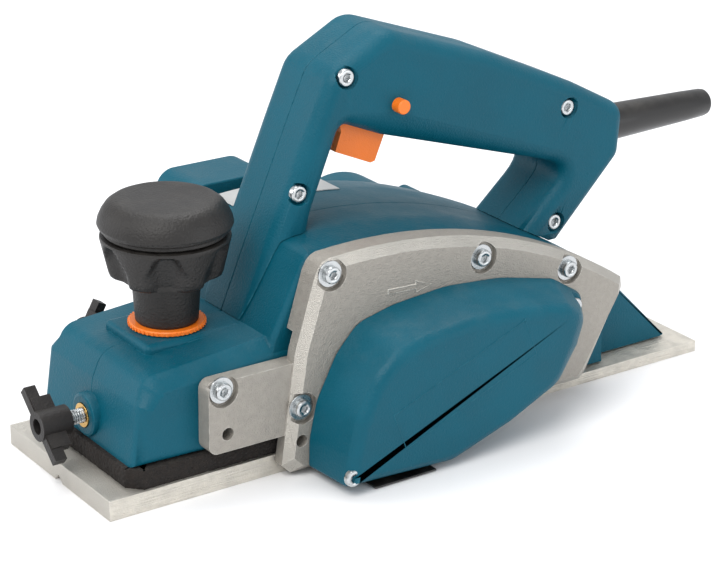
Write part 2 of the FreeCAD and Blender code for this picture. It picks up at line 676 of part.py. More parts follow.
def make_brushes():
    """Two holders across the commutator, each with its carbon and its screw cap."""
    holders, carbons, caps = [], [], []
    for number, side in enumerate((1, -1)):
        start = f"motor_x + {side} * (commutator_r + 2)" if side > 0 else "motor_x - cap_r + wall + 0.6"
        reach = "cap_r - wall - 0.6 - commutator_r - 2"
        outer = block(f"holder_{number}", start, "far_out + 2", "motor_z - 4", reach, "7", "8")
        inner = block(f"holder_hole_{number}", f"{start} - 1", "far_out + 3", "motor_z - 3",
                      f"{reach} + 2", "5", "6")
        holders.append(cut(f"brush_holder_{number}", outer, inner))
        carbon_x = "motor_x + commutator_r + 0.3" if side > 0 else "motor_x - commutator_r - 10.3"
        carbons.append(block(f"carbon_{number}", carbon_x, "far_out + 3.1",
                             "motor_z - 2.9", "10", "4.8", "5.8"))
        cap_x = "motor_x + cap_r - wall" if side > 0 else "motor_x - cap_r - 1"
        caps.append(rod(f"brush_cap_{number}", "X", cap_x, "far_out + 5.5", "motor_z", "5", "wall + 1"))
    node(group("brush_holders", *holders))
    node(group("carbon_brushes", *carbons))
    node(group("brush_caps", *caps))


# ---------------------------------------------------------------- housing shells
HANDLE_SCREWS = ((10.9, 126.1), (-11.2, 82), (125.1, 94.9), (120.9, 44.1))
PLATE_SCREWS = ((-16.6, 59.4), (57.6, 50.9), (103.7, 36.3), (-29.7, 6.1))
LUG_SCREW = (-63.8, 20.2)
GUIDE_HOLES = ((-62.1, 2), (-30.4, -7.7))
COVER_SCREW_LOW = (-23, -15.6)
COVER_SCREW_BACK = (103.4, 21.5)


def far_window():
    """Where the chips leave the body, a rectangle with rounded corners."""
    return outline((
        (DRUM.x - 17, DRUM.z + 31, 3), (DRUM.x + 17, DRUM.z + 31, 3),
        (DRUM.x + 17, DRUM.z + 59, 3), (DRUM.x - 17, DRUM.z + 59, 3)))


def housing_blank():
    """Both shells together, hollow, before they are parted along the seam."""
    whole = slab(body_outline(), -mm("nose_half"), FAR)
    behind_nose = box_between((DRUM.x - 36, -mm("nose_half") - 1, 0), (BACK, NEAR, 200))
    tail = box_between((ARC_END + 0.8, -mm("nose_half") - 1, 0), (BACK, -mm("tail_half"), 200))
    tail_far = box_between((ARC_END + 0.8, mm("tail_half"), 0), (BACK, FAR + 1, 200))
    nose_far = box_between((NOSE_X - 1, mm("nose_half"), 0), (DRUM.x - CHAMBER - 1, FAR + 1, 200))
    pad = box_between((KNOB_X - 19, -17, HOOD - 4), (DRUM.x - 36, 17, HOOD + 0.2))
    boss = shaft((0, 0, WING_Z), "X", 9, NOSE_X - 1.4, NOSE_X + 4)
    stop_pad = box_between((DRUM.x - 77, mm("nose_half") - 2, 20), (DRUM.x - 59, FAR + 0.2, 46))
    skin = whole.cut([behind_nose, tail, tail_far, nose_far]).fuse([pad, boss, stop_pad])
    hollow = slab(body_outline(mm("wall")), NEAR + mm("wall"), FAR - mm("wall"))
    tail_hollow = box_between((ARC_END - 2, NEAR, 0), (BACK, -mm("tail_half") + mm("wall"), 200))
    tail_hollow_far = box_between((ARC_END - 2, mm("tail_half") - mm("wall"), 0), (BACK, FAR, 200))
    nose_hollow_far = box_between((NOSE_X, mm("nose_half") - mm("wall"), 0), (DRUM.x - CHAMBER + 2, FAR, 200))
    hollow = hollow.cut([tail_hollow, tail_hollow_far, nose_hollow_far])
    shell = skin.cut(hollow)
    return shell.fuse(housing_inside()).cut(housing_openings())


def housing_inside():
    """Fence socket walls, spindle bush and screw bosses."""
    side = mm("fence_side") / 2 + 2
    fence_x = DRUM.x - mm("fence_ahead")
    inner = mm("nose_half") - 1
    parts = [box_between((fence_x - side, -inner, mm("fence_z") - side),
                         (fence_x + side, inner, mm("fence_z") + side)),
             shaft((KNOB_X, 0, 0), "Z", 9, HOOD - 11, HOOD - 2)]
    for distance, rise in PLATE_SCREWS[1:3]:
        parts.append(shaft(back(distance, rise), "Y", 4.2, NEAR + 0.5, NEAR + 14))
    parts.append(shaft(back(*LUG_SCREW), "Y", 4.5, -mm("nose_half") + 0.5, -20))
    for distance in (34, 120):
        for y in (-14, 14):
            parts.append(shaft((DRUM.x + distance, y, 0), "Z", 4.5, SEAT_Z + 0.5, SEAT_Z + 11))
    return parts


def housing_openings():
    """Holes through the shells, as tools to take away."""
    side = mm("fence_side") / 2
    fence_x = DRUM.x - mm("fence_ahead")
    stud = mm("stud_r") + mm("fit")
    tools = [
        box_between((fence_x - side, -50, mm("fence_z") - side), (fence_x + side, 60, mm("fence_z") + side)),
        box_between((fence_x + side + 2.5, -33, 0),
                    (DRUM.x - CHAMBER - 3, 33, mm("nose_z") + mm("wall") + 0.5)),
        shaft((KNOB_X, 0, 0), "Z", mm("spindle_r") + mm("fit"), 0, 80),
        shaft((0, 0, WING_Z), "X", mm("stud_r") + 2, NOSE_X - 2, fence_x),
        shaft((MOTOR.x, 0, MOTOR.z), "Y", mm("motor_shaft_r") + 4, NEAR - 1, NEAR + mm("wall") + 1),
        shaft((MOTOR.x, 0, MOTOR.z), "Y", mm("cap_r") - mm("wall") - 0.5, FAR - mm("wall") - 1, FAR + 1),
        slab(far_window(), FAR - mm("wall") - 1, FAR + 1),
        box_between((DRUM.x - 14, NEAR + 8, DRUM.z + 15),
                    (DRUM.x + 14, FAR - 3, DRUM.z + CHAMBER + mm("wall") + 1)),
        box_between((DRUM.x - CHAMBER - 1, NEAR - 2, -1),
                    (DRUM.x + CHAMBER + 1, NEAR + mm("wall"), DRUM.z + CHAMBER * 0.5)),
        shaft(back(*stop_axis()), "Y", stud, mm("nose_half") - 8, FAR + 1),
    ]
    screw = mm("screw_r")
    for distance, rise in PLATE_SCREWS[:3] + (LUG_SCREW,):
        tools.append(shaft(back(distance, rise), "Y", screw, -mm("nose_half") - 1, -13))
    for distance in (34, 120):
        for y in (-14, 14):
            tools.append(shaft((DRUM.x + distance, y, 0), "Z", screw, 0, 13))
    return tools


def stop_axis():
    """The far side's wing screw, from the drum axis."""
    return (-68, 10)


def make_housing():
    blank = housing_blank()
    near = box_between((FRONT - 5, -60, -5), (BACK + 5, -SEAM, 200))
    far = box_between((FRONT - 5, SEAM, -5), (BACK + 5, 60, 200))
    feature("housing_left", blank.common(near))
    feature("housing_right", blank.common(far))
    duct_low = (DRUM.x - 18, NEAR + 6, DRUM.z + CHAMBER + 3.4)
    duct_high = (DRUM.x + 18, FAR_IN - 0.2, DRUM.z + 60.4)
    duct = box_between(duct_low, duct_high)
    inside = box_between((duct_low[0] + 2, duct_low[1] + 2, 0),
                         (duct_high[0] - 2, FAR_IN + 1, duct_high[2] - 2))
    window_cut = slab(far_window(), FAR - mm("wall") - 1, FAR + 1)
    lip = box_between((duct_low[0] - 1, FAR - mm("wall") - 0.1, 0), (duct_high[0] + 1, FAR_IN + 1, 200))
    feature("chip_duct", duct.cut(inside).cut(lip))
    start, end = DRUM.x - 16, DRUM.x + 35
    plate = slab(chain(arc_points(start, end, 0), arc_points(end, start, -0.5)), HANDLE + 0.7, FAR - 3)
    feature("nameplate", plate)


# ---------------------------------------------------------------- side plate, far plate, chute, end cap
def make_side_plate():
    blank = slab(plate_outline(), PLATE_OUT, NEAR - mm("gap"))
    rim = mm("rim_wide")
    pocket = slab(plate_outline(rim), PLATE_IN, NEAR)
    below = box_between((DRUM.x - 45, PLATE_IN, -1), (BACK, NEAR, mm("nose_z") + 1))
    front = box_between((DRUM.x - 45, PLATE_IN, -1), (DRUM.x - CHAMBER - 0.6, NEAR, HOOD + 4))
    bevel_wire = plate_outline(mm("plate_chamfer"))
    bevel = Part.makeLoft([moved(plate_outline(), PLATE_OUT + mm("plate_chamfer")),
                           moved(bevel_wire, PLATE_OUT)], True, True)
    band = box_between((DRUM.x - 60, PLATE_OUT - 1, -1), (BACK, PLATE_OUT + mm("plate_chamfer"), 200))
    blank = blank.cut(band).fuse(bevel)
    lug_face = PLATE_OUT + mm("lug_drop")
    lug_low, lug_high = DRUM.z - 5.5, DRUM.z + 24.5
    lug = slab(outline(((DRUM.x - 70.6, lug_low, 4), (DRUM.x - 28, lug_low),
                        (DRUM.x - 28, lug_high), (DRUM.x - 70.6, lug_high, 4))),
               lug_face, -mm("nose_half") - mm("gap"))
    plate = blank.cut([pocket, below, front]).fuse(lug)
    tools = [shaft((DRUM.x, 0, DRUM.z), "Y", mm("bearing_r"), PLATE_OUT - 1, NEAR),
             shaft((MOTOR.x, 0, MOTOR.z), "Y", mm("bearing_r"), PLATE_OUT - 1, NEAR)]
    seat = PLATE_OUT + mm("seat_deep")
    for distance, rise in PLATE_SCREWS:
        tools.append(shaft(back(distance, rise), "Y", mm("screw_r"), PLATE_OUT - 1, 0))
        tools.append(shaft(back(distance, rise), "Y", mm("washer_r") + 1.2, PLATE_OUT - 1, seat))
    tools.append(shaft(back(*LUG_SCREW), "Y", mm("screw_r"), PLATE_OUT - 1, 0))
    tools.append(shaft(back(*LUG_SCREW), "Y", mm("washer_r") + 1.2, PLATE_OUT - 1,
                       lug_face + mm("seat_deep")))
    tools.append(shaft(back(*GUIDE_HOLES[0]), "Y", mm("guide_bore"), lug_face - 1, 0))
    tools.append(shaft(back(*GUIDE_HOLES[1]), "Y", mm("guide_bore"), PLATE_OUT - 1, PLATE_OUT + 7))
    for distance, rise in (COVER_SCREW_LOW, COVER_SCREW_BACK):
        tools.append(shaft(back(distance, rise), "Y", mm("screw_r"), PLATE_OUT - 1, PLATE_OUT + 6))
    feature("side_plate", plate.cut(tools))


def moved(wire, y):
    wire = wire.copy()
    wire.translate(Vector(0, y, 0))
    return wire


def make_far_side():
    plate = slab(outline((
        (DRUM.x - 23, 12, 8), (DRUM.x + 20, 8, 4), (MOTOR.x + 34, MOTOR.z - 38, 12),
        (MOTOR.x + 34, MOTOR.z + 17, 10), (DRUM.x + 24, DRUM.z + 62, 6), (DRUM.x - 20, DRUM.z + 62, 6))),
        FAR_IN, FAR_OUT)
    boss = shaft((DRUM.x, 0, DRUM.z), "Y", mm("bearing_r") + 3, FAR_IN, FAR_IN + mm("bearing_wide") + 1)
    tools = [shaft((DRUM.x, 0, DRUM.z), "Y", mm("bearing_r"), FAR_IN - 1, FAR_IN + mm("bearing_wide")),
             shaft((DRUM.x, 0, DRUM.z), "Y", mm("drum_shaft_r") + 1, FAR_IN - 1, FAR_OUT + 20),
             shaft((MOTOR.x, 0, MOTOR.z), "Y", mm("cap_r") - mm("wall") - 0.5, FAR_IN - 1, FAR_OUT + 1),
             slab(far_window(), FAR_IN - 1, FAR_OUT + 1)]
    ears = []
    for angle in (30, 150, 270):
        direction = Vector(math.cos(math.radians(angle)), 0, math.sin(math.radians(angle)))
        ears.append(MOTOR + direction * (mm("cap_r") + mm("head_r") + 0.4))
    for ear in ears:
        tools.append(shaft(ear, "Y", mm("screw_r"), FAR_IN - 1, FAR_OUT + 1))
    feature("bearing_plate", plate.fuse(boss).cut(tools))
    chute = outline(((DRUM.x - 24, DRUM.z + 27, 6), (DRUM.x + 21, DRUM.z + 27, 6),
                     (DRUM.x + 21, DRUM.z + 68, 9), (DRUM.x - 24, DRUM.z + 68, 9)))
    chute_end = FAR_OUT + mm("chute_out")
    feature("chip_chute", slab(chute, FAR_OUT, chute_end).cut(slab(far_window(), FAR_OUT - 1, chute_end + 1)))
    end = FAR_OUT + mm("cap_out")
    cap = round_end(shaft(MOTOR, "Y", mm("cap_r"), FAR_OUT, end), end, 4)
    cap = cap.fuse([shaft(ear, "Y", 5, FAR_OUT, FAR_OUT + 9) for ear in ears])
    hollow = shaft(MOTOR, "Y", mm("cap_r") - mm("wall"), FAR_OUT - 1, end - mm("wall"))
    seat = shaft(MOTOR, "Y", mm("bearing_r") + 2.5, end - 4 - mm("bearing_wide"), end - 1)
    tools = [shaft(MOTOR, "Y", mm("bearing_r"), FAR_OUT - 1, end - 4),
             shaft(MOTOR, "Y", mm("motor_shaft_r") + 2, FAR_OUT - 1, end - mm("wall"))]
    for side in (1, -1):
        reach = sorted((MOTOR.x + side * (mm("cap_r") - mm("wall") - 0.6),
                        MOTOR.x + side * (mm("cap_r") + 3)))
        tools.append(shaft((0, FAR_OUT + 5.5, MOTOR.z), "X", 5, *reach))
    for ear in ears:
        tools.append(shaft(ear, "Y", mm("screw_r"), FAR_OUT - 1, FAR_OUT + 12))
    for step in range(8):
        angle = 45 * step + 22.5
        slot = box_between((mm("bearing_r") + 3.5, end - 8, -1.4), (mm("cap_r") - 5.5, end + 1, 1.4))
        slot.rotate(Vector(), Vector(0, 1, 0), angle)
        slot.translate(Vector(MOTOR.x, 0, MOTOR.z))
        tools.append(slot)
    feature("motor_end_cap", cap.cut(hollow).fuse(seat).cut(tools))
    heads = []
    for ear in ears:
        head = shaft(ear, "Y", mm("head_r"), FAR_OUT + 9, FAR_OUT + 9 + mm("head_high"))
        heads.append(head.fuse(shaft(ear, "Y", mm("screw_r"), FAR_IN, FAR_OUT + 9.5)))
    feature("end_cap_screws", Part.makeCompound(heads))


def round_end(solid, y, radius):
    """Round a Y cylinder's circular edge at one station."""
    circles = [edge for edge in solid.Edges
               if isinstance(edge.Curve, Part.Circle) and abs(edge.CenterOfMass.y - y) < 1e-6]
    return solid.makeFillet(radius, circles)


# ---------------------------------------------------------------- belt cover
def cover_points(lift):
    """Corners of the belt cover: lift 0 is its foot on the plate, 1 is its face."""
    foot = ((-27.2, -20), (-27.2, -8), (-24, 8), (-15, 26), (-5, 37), (12, 41), (38, 43.3), (66, 41),
            (94, 34.5),
            (110, 24.5), (112, 12), (94, -2), (56, -14.4), (30, -22), (15, -22.6))
    face = ((-26, -19.5), (-24, -7), (-20, 9), (-11, 25), (-2, 32), (12, 36), (38, 38), (66, 35.5), (83, 33),
            (91, 26), (86.5, 14), (79, -0.5), (55, -12), (29, -21.5), (15, -22.5))
    return [Vector(DRUM.x + low[0] + (high[0] - low[0]) * lift, 0,
                   DRUM.z + low[1] + (high[1] - low[1]) * lift)
            for low, high in zip(foot, face)]


# The face's panel and its vents lean a little more than the belt. A vent runs from a start to
# an end along the panel, at a rise above or below its middle.
PANEL_TILT = 2
PANEL_MIDDLE = (30, 12)
VENTS = ((-26.5, -7.5, 23.8), (-26.8, -7.8, 17.5), (-26.9, -6, 11.4), (-4, 10.2, 17.6), (-1.7, 26.4, 11.4),
         (-25.3, 3, -11.2), (-18.8, 5.3, -17.2), (-12.3, 7.7, -23.9), (7, 25.9, -11), (9.3, 26, -17.2),
         (11.7, 25.9, -23.9))


def cover_wire(lift, y, inset=0.0):
    wire = Part.makePolygon(cover_points(lift) + cover_points(lift)[:1])
    if inset:
        wire = wire.makeOffset2D(-inset, 2)
    return moved(wire, y)


def make_belt_cover():
    foot_y = PLATE_OUT - mm("gap")
    outer = Part.makeLoft([cover_wire(0, foot_y), cover_wire(1, COVER_OUT)], True, True)
    wall = mm("cover_wall")
    inner = Part.makeLoft([cover_wire(0, foot_y + 0.5, wall),
                           cover_wire(1, COVER_OUT + wall, wall)], True, True)
    lean = math.degrees(math.atan2(mm("motor_rise"), mm("motor_back"))) + PANEL_TILT
    middle = back(*PANEL_MIDDLE)
    tools = [shaft(back(*COVER_SCREW_LOW), "Y", 2.2, COVER_OUT - 2, PLATE_OUT + 2),
             shaft(back(*COVER_SCREW_LOW), "Y", 5, COVER_OUT - 2, COVER_OUT + 3),
             shaft(back(*COVER_SCREW_BACK), "Y", 2.2, COVER_OUT - 2, PLATE_OUT + 2),
             shaft(back(*COVER_SCREW_BACK), "Y", 5.2, COVER_OUT - 2, PLATE_OUT - 3)]
    for start, end, rise in VENTS:
        slot = box_between((start, COVER_OUT - 1, rise - mm("vent_wide") / 2),
                           (end, COVER_OUT + wall + 1, rise + mm("vent_wide") / 2))
        slot.rotate(Vector(), Vector(0, 1, 0), -lean)
        slot.translate(Vector(middle.x, 0, middle.z))
        tools.append(slot)
    boss = shaft(back(*COVER_SCREW_LOW), "Y", 5.5, COVER_OUT + 2, foot_y)
    rear_boss = shaft(back(*COVER_SCREW_BACK), "Y", 7.2, COVER_OUT + 8, foot_y)
    shell = outer.cut(inner).fuse([boss.common(outer), rear_boss.common(outer)])
    feature("belt_cover", shell.cut(tools))
    strip = box_between((DRUM.x - 12, COVER_OUT + 2, 0.5), (DRUM.x + 18, PLATE_OUT - 2, DRUM.z - 22.9))
    feature("cover_strip", strip)


# ---------------------------------------------------------------- handle
def handle_outline(inset=0.0):
    corners = (
        (-39, 26, 0), (-25, 60), (-5.4, 106.5, 20), (4.2, 128.5, 14), (31, 142.6, 12), (88, 123, 60),
        (131, 104, 60), (158.5, 89.5, 9), (157, 68, 8), (124, 34, 0), (94, 34, 0), (131.6, 67.7, 9),
        (31.2, 98.2, 5), (9.6, 107.3, 5), (-5.1, 70.3, 40), (-9, 26, 0))
    wire = outline([(DRUM.x + corner[0], DRUM.z + corner[1], *corner[2:]) for corner in corners])
    return shrink(wire, inset) if inset else wire


TRIGGER_PIVOT = (18, 106)
SWITCH = ((41, 101), (74, 121))
LOCK = (35.2, 111.5)


def make_handle():
    whole = slab(handle_outline(), -HANDLE, HANDLE)
    long_edges = [edge for edge in whole.Edges
                  if all(abs(abs(vertex.Y) - HANDLE) < 1e-3 for vertex in edge.Vertexes)]
    whole = whole.makeChamfer(4.5, long_edges)
    hollow = slab(handle_outline(mm("handle_wall")), -HANDLE + mm("handle_wall"), HANDLE - mm("handle_wall"))
    under = slab(body_outline(-mm("gap")), -60, 60)
    knob_pad = box_between((KNOB_X - 19, -18, 0), (DRUM.x - 36 + mm("gap"), 18, HOOD + 0.6))
    shell = whole.cut(hollow)
    bosses = [shaft(back(*spot), "Y", 5.6, -HANDLE + 0.5, HANDLE - 0.5) for spot in HANDLE_SCREWS]
    shell = shell.fuse(bosses).common(whole).cut([under, knob_pad])
    tools = []
    for spot in HANDLE_SCREWS:
        tools.append(shaft(back(*spot), "Y", mm("screw_r"), -HANDLE - 1, HANDLE - 4))
        tools.append(shaft(back(*spot), "Y", mm("recess_r"), -HANDLE - 1, -HANDLE + 3.4))
    grip_slot = slab(outline([(DRUM.x + x, DRUM.z + z) for x, z in
                              ((10, 88), (36, 80), (41.5, 100), (38, 106), (14, 109), (12, 103))]),
                     -mm("trigger_half") - 0.6, mm("trigger_half") + 0.6)
    tools.append(grip_slot)
    pin = mm("trigger_pin_r")
    tools.append(shaft(back(*TRIGGER_PIVOT), "Y", pin, -HANDLE + 2, HANDLE - 2))
    tools.append(shaft(back(*LOCK), "Y", mm("lock_r") + mm("fit"), -HANDLE - 1, -HANDLE + 6))
    guard_from = DRUM.x + mm("guard_start")
    tools.append(shaft((0, 0, GUARD_Z), "X", mm("guard_root_r"), guard_from, BACK))
    shell = shell.cut(tools)
    feature("handle_left", biggest(shell.common(box_between((FRONT, -60, 0), (BACK + 50, -SEAM, 300)))))
    feature("handle_right", biggest(shell.common(box_between((FRONT, SEAM, 0), (BACK + 50, 60, 300)))))
    swing = ((12.9, 92.3), (30.4, 84.6), (32.6, 85), (38, 98), (38, 102.6),
             (20, 109), (14.8, 108), (15.6, 100))
    trigger = slab(outline([(DRUM.x + x, DRUM.z + z) for x, z in swing]),
                   -mm("trigger_half"), mm("trigger_half"))
    feature("trigger", trigger.cut(shaft(back(*TRIGGER_PIVOT), "Y", pin + mm("fit"), -20, 20)))
    feature("trigger_pin", shaft(back(*TRIGGER_PIVOT), "Y", pin, -HANDLE + 2, HANDLE - 2))
    feature("lock_button", shaft(back(*LOCK), "Y", mm("lock_r"), -HANDLE - 4.6, -HANDLE + 9).fuse(
        shaft(back(*LOCK), "Y", mm("lock_r") + 1.2, -HANDLE + 3.4, -HANDLE + 5)))
    (low_x, low_z), (high_x, high_z) = SWITCH
    feature("switch_block", box_between((DRUM.x + low_x, -9, DRUM.z + low_z),
                                        (DRUM.x + high_x, 9, DRUM.z + high_z)))


def biggest(shape):
    return max(shape.Solids, key=lambda solid: solid.Volume)


def make_cord_guard():
    start = "drum_x + guard_start"
    node(turned("cord_guard", "X", start, "0", "guard_z", (
        ("guard_bore", "0"), ("guard_root_r", "0"), ("guard_root_r", "guard_long * 0.25"),
        ("guard_tip_r", "guard_long - 2"), ("guard_tip_r - 1.5", "guard_long"),
        ("guard_bore", "guard_long"))))
    low = Vector(DRUM.x + mm("guard_start") - 12, -11, GUARD_Z - mm("guard_bore") - 6.1)
    bar = box_between(low, low + Vector(8, 22, 6))
    feature("cord_clamp", bar)


# ---------------------------------------------------------------- wing screws and the rebate stop
def wings(hub_r, reach, angle):
    """Two flat wings on a hub about the Z axis, turned to one angle."""
    hub = Part.makeCylinder(hub_r, 13).cut(Part.makeCylinder(3.2, 4))
    parts = []
    for turn in (angle, angle + 180):
        blade = Part.makeBox(reach, 4, 5, Vector(0, -2, 0.5))
        root = Part.makeBox(reach * 0.68, 5, 8.5, Vector(0, -2.5, 1))
        for part in (blade, root):
            part.rotate(Vector(), Vector(0, 0, 1), turn)
            parts.append(part)
    return hub.fuse(parts).cut(Part.makeCylinder(3.2, 4)).removeSplitter()


def make_clamps():
    fence_x = DRUM.x - mm("fence_ahead")
    axis_z = WING_Z
    knob_front = NOSE_X - 21.5
    wing = wings(6, 16.5, 41)
    wing.rotate(Vector(), Vector(0, 1, 0), 90)
    wing.rotate(Vector(), Vector(1, 0, 0), 90)
    wing.translate(Vector(knob_front, 0, axis_z))
    stud_start = knob_front + mm("stud_back")
    wing = wing.cut(shaft((0, 0, axis_z), "X", mm("stud_r"), stud_start, 0))
    feature("wing_knob_front", wing)
    stud_end = fence_x - mm("fence_side") / 2 - mm("gap")
    feature("wing_stud_front", shaft((0, 0, axis_z), "X", mm("stud_r"), stud_start, stud_end))
    insert = shaft((0, 0, axis_z), "X", mm("stud_r") + 2, NOSE_X - 2, NOSE_X + 7)
    feature("brass_insert", insert.cut(shaft((0, 0, axis_z), "X", mm("stud_r") + mm("fit"),
                                             NOSE_X - 3, NOSE_X + 9)))
    centre = back(*stop_axis())
    side_wing = wings(6, 14, 62)
    side_wing.rotate(Vector(), Vector(1, 0, 0), 90)
    side_wing.translate(Vector(centre.x, FAR + 4.2 + 13, centre.z))
    side_wing = side_wing.cut(shaft(centre, "Y", mm("stud_r"), FAR, FAR + 12))
    feature("wing_knob_side", side_wing)
    feature("wing_stud_side", shaft(centre, "Y", mm("stud_r"), mm("nose_half") - 6, FAR + 12))
    bar = box_between((centre.x - 6, FAR + 0.5, 4), (centre.x + 6, FAR + 3.7, 46))
    foot = box_between((centre.x - 6, FAR + 0.5, 4), (centre.x + 6, FAR + 12, 7))
    reach = mm("stud_r") + 0.15
    slot_low, slot_high = centre.z - mm("stop_travel"), centre.z
    slot = outline(((centre.x - reach, slot_low - reach, reach * 0.98),
                    (centre.x + reach, slot_low - reach, reach * 0.98),
                    (centre.x + reach, slot_high + reach, reach * 0.98),
                    (centre.x - reach, slot_high + reach, reach * 0.98)))
    feature("rebate_stop", bar.fuse(foot).cut(slab(slot, FAR, FAR + 5)))


# ---------------------------------------------------------------- screws
def side_screws(name, spots, face, length, washers=None):
    """Pan-headed screws along Y whose heads face the belt side."""
    solids, rings = [], []
    for number, spot in enumerate(spots):
        seat = face[number] if isinstance(face, (list, tuple)) else face
        under = seat - (mm("washer_thick") if washers else 0)
        head = round_end(shaft(back(*spot), "Y", mm("head_r"), under - mm("head_high"), under),
                         under - mm("head_high"), 1)
        turns = [math.radians(60 * step) for step in range(7)]
        recess = Part.Wire(Part.makePolygon([Vector(HEX_R * math.cos(turn), 0, HEX_R * math.sin(turn))
                                             for turn in turns]))
        socket = slab(recess, under - mm("head_high") - 1, under - mm("head_high") + 1.5)
        socket.translate(Vector(back(*spot).x, 0, back(*spot).z))
        shank = length[number] if isinstance(length, (list, tuple)) else length
        solids.append(head.cut(socket).fuse(shaft(back(*spot), "Y",
                                                  mm("screw_r"), under - 0.5, under + shank)))
        if washers:
            ring = shaft(back(*spot), "Y", mm("washer_r"), under, seat)
            rings.append(ring.cut(shaft(back(*spot), "Y", mm("screw_r"), under - 1, seat + 1)))
    feature(name, Part.makeCompound(solids))
    if washers:
        feature(washers, Part.makeCompound(rings))


def make_screws():
    lug_face = PLATE_OUT + mm("lug_drop")
    side_screws("plate_screws", PLATE_SCREWS + (LUG_SCREW,),
                [PLATE_OUT + mm("seat_deep")] * 4 + [lug_face + mm("seat_deep")],
                [16, 22, 22, 6, 18], "plate_washers")
    side_screws("handle_screws", HANDLE_SCREWS, -HANDLE + 3.4, 24)
    side_screws("cover_screws", (COVER_SCREW_LOW, COVER_SCREW_BACK), [COVER_OUT + 3, PLATE_OUT - 3],
                8)


make_base()
make_shoe_guides()
make_knob()
make_cutter()
make_bearings()
make_drive()
make_motor()
make_housing()
make_side_plate()
make_far_side()
make_belt_cover()
make_handle()
make_cord_guard()
make_clamps()
make_screws()
doc.recompute()

# ---------------------------------------------------------------- checks, then the files
for piece in doc.Objects:
    if "Invalid" in piece.State or "Error" in piece.State:
        raise SystemExit(f"{piece.Label} did not build: {piece.State}")
for piece in nodes:
    if piece.Shape.isNull() or not piece.Shape.isValid() or not piece.Shape.Solids:
        raise SystemExit(f"{piece.Label} has no valid solid")

os.makedirs("parts", exist_ok=True)
for piece in nodes:
    piece.Shape.exportStep(f"parts/{piece.Label}.step")
print(len(nodes), "nodes")
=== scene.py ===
# %% [markdown]
# # Electric hand planer
# A hand planer shaves wood with two blades on a fast drum. Its soles, drum, belt, motor and
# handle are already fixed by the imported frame. This lesson builds the visible skin around that
# frame: moulded shells, die-cast plate, turned knob and fasteners, each with its own finish.

# %% Load the frame
import json
import math
import bmesh
import bpy
from mathutils import Matrix, Vector, noise as field


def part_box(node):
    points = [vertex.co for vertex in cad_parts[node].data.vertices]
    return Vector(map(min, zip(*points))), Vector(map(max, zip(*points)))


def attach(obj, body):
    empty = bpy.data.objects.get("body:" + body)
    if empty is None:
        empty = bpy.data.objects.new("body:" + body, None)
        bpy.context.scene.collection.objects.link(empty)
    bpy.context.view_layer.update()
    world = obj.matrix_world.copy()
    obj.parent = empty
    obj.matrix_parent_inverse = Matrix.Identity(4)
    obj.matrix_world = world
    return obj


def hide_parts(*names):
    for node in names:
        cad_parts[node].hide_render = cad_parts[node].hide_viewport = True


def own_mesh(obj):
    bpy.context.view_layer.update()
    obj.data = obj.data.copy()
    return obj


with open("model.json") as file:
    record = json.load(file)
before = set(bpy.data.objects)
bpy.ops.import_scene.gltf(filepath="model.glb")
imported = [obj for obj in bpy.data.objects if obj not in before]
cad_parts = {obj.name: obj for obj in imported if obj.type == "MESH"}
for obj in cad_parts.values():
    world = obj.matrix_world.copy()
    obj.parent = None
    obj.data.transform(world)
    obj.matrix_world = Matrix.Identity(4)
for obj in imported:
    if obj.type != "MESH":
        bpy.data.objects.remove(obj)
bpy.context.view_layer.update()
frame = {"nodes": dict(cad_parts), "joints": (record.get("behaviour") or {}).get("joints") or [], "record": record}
MM = 0.001

# %% [markdown]
# ## Places to build from
# Every length below is in millimetres and starts from the frame: the joints give the axes that
# things turn on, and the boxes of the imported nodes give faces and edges. The drum's axis is the
# machine's natural centre, so outlines are drawn as distances behind it and above it.

# %% Axes and faces
joints = {joint["name"]: joint for joint in frame["joints"]}


def axis_point(joint):
    """A point on a joint's axis, in millimetres."""
    return Vector(joints[joint]["pos_m"]) / MM


def span(node):
    """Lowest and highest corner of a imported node, in millimetres."""
    low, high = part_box(node)
    return low / MM, high / MM


DRUM = axis_point("drum_spin")
MOTOR = axis_point("motor_spin")
KNOB = axis_point("depth_knob_turn")
FRONT_WING = axis_point("front_wing_turn")
SIDE_WING = axis_point("side_wing_turn")
PLATE_FACE = span("side_plate")[0].y
COVER_FACE = span("belt_cover")[0].y
COVER_FOOT = span("belt_cover")[1].y
BODY_FAR = span("housing_right")[1].y - 0.2
BODY_NEAR = -37
NOSE_HALF = 38
TAIL_HALF = 30
NOSE_FRONT = span("housing_left")[0].x + 1.4
TAIL_TIP = span("housing_left")[1].x
NOSE_FLOOR = span("shoe_gasket")[1].z
SOLE_SEAT = span("rear_sole")[1].z
HANDLE_HALF = span("handle_right")[1].y
CHAMBER = 26
SEAM = 0.05
print("drum at", tuple(round(value, 1) for value in DRUM), "motor at", tuple(round(v, 1) for v in MOTOR))

# %% [markdown]
# ## Camera, lights and floor
# The view is a three-quarter one from the belt side, a little above the machine. A long lens
# keeps the lines nearly parallel. Big soft lamps round a pale floor give wide highlights on
# moulded plastic and a soft shadow below the soles.

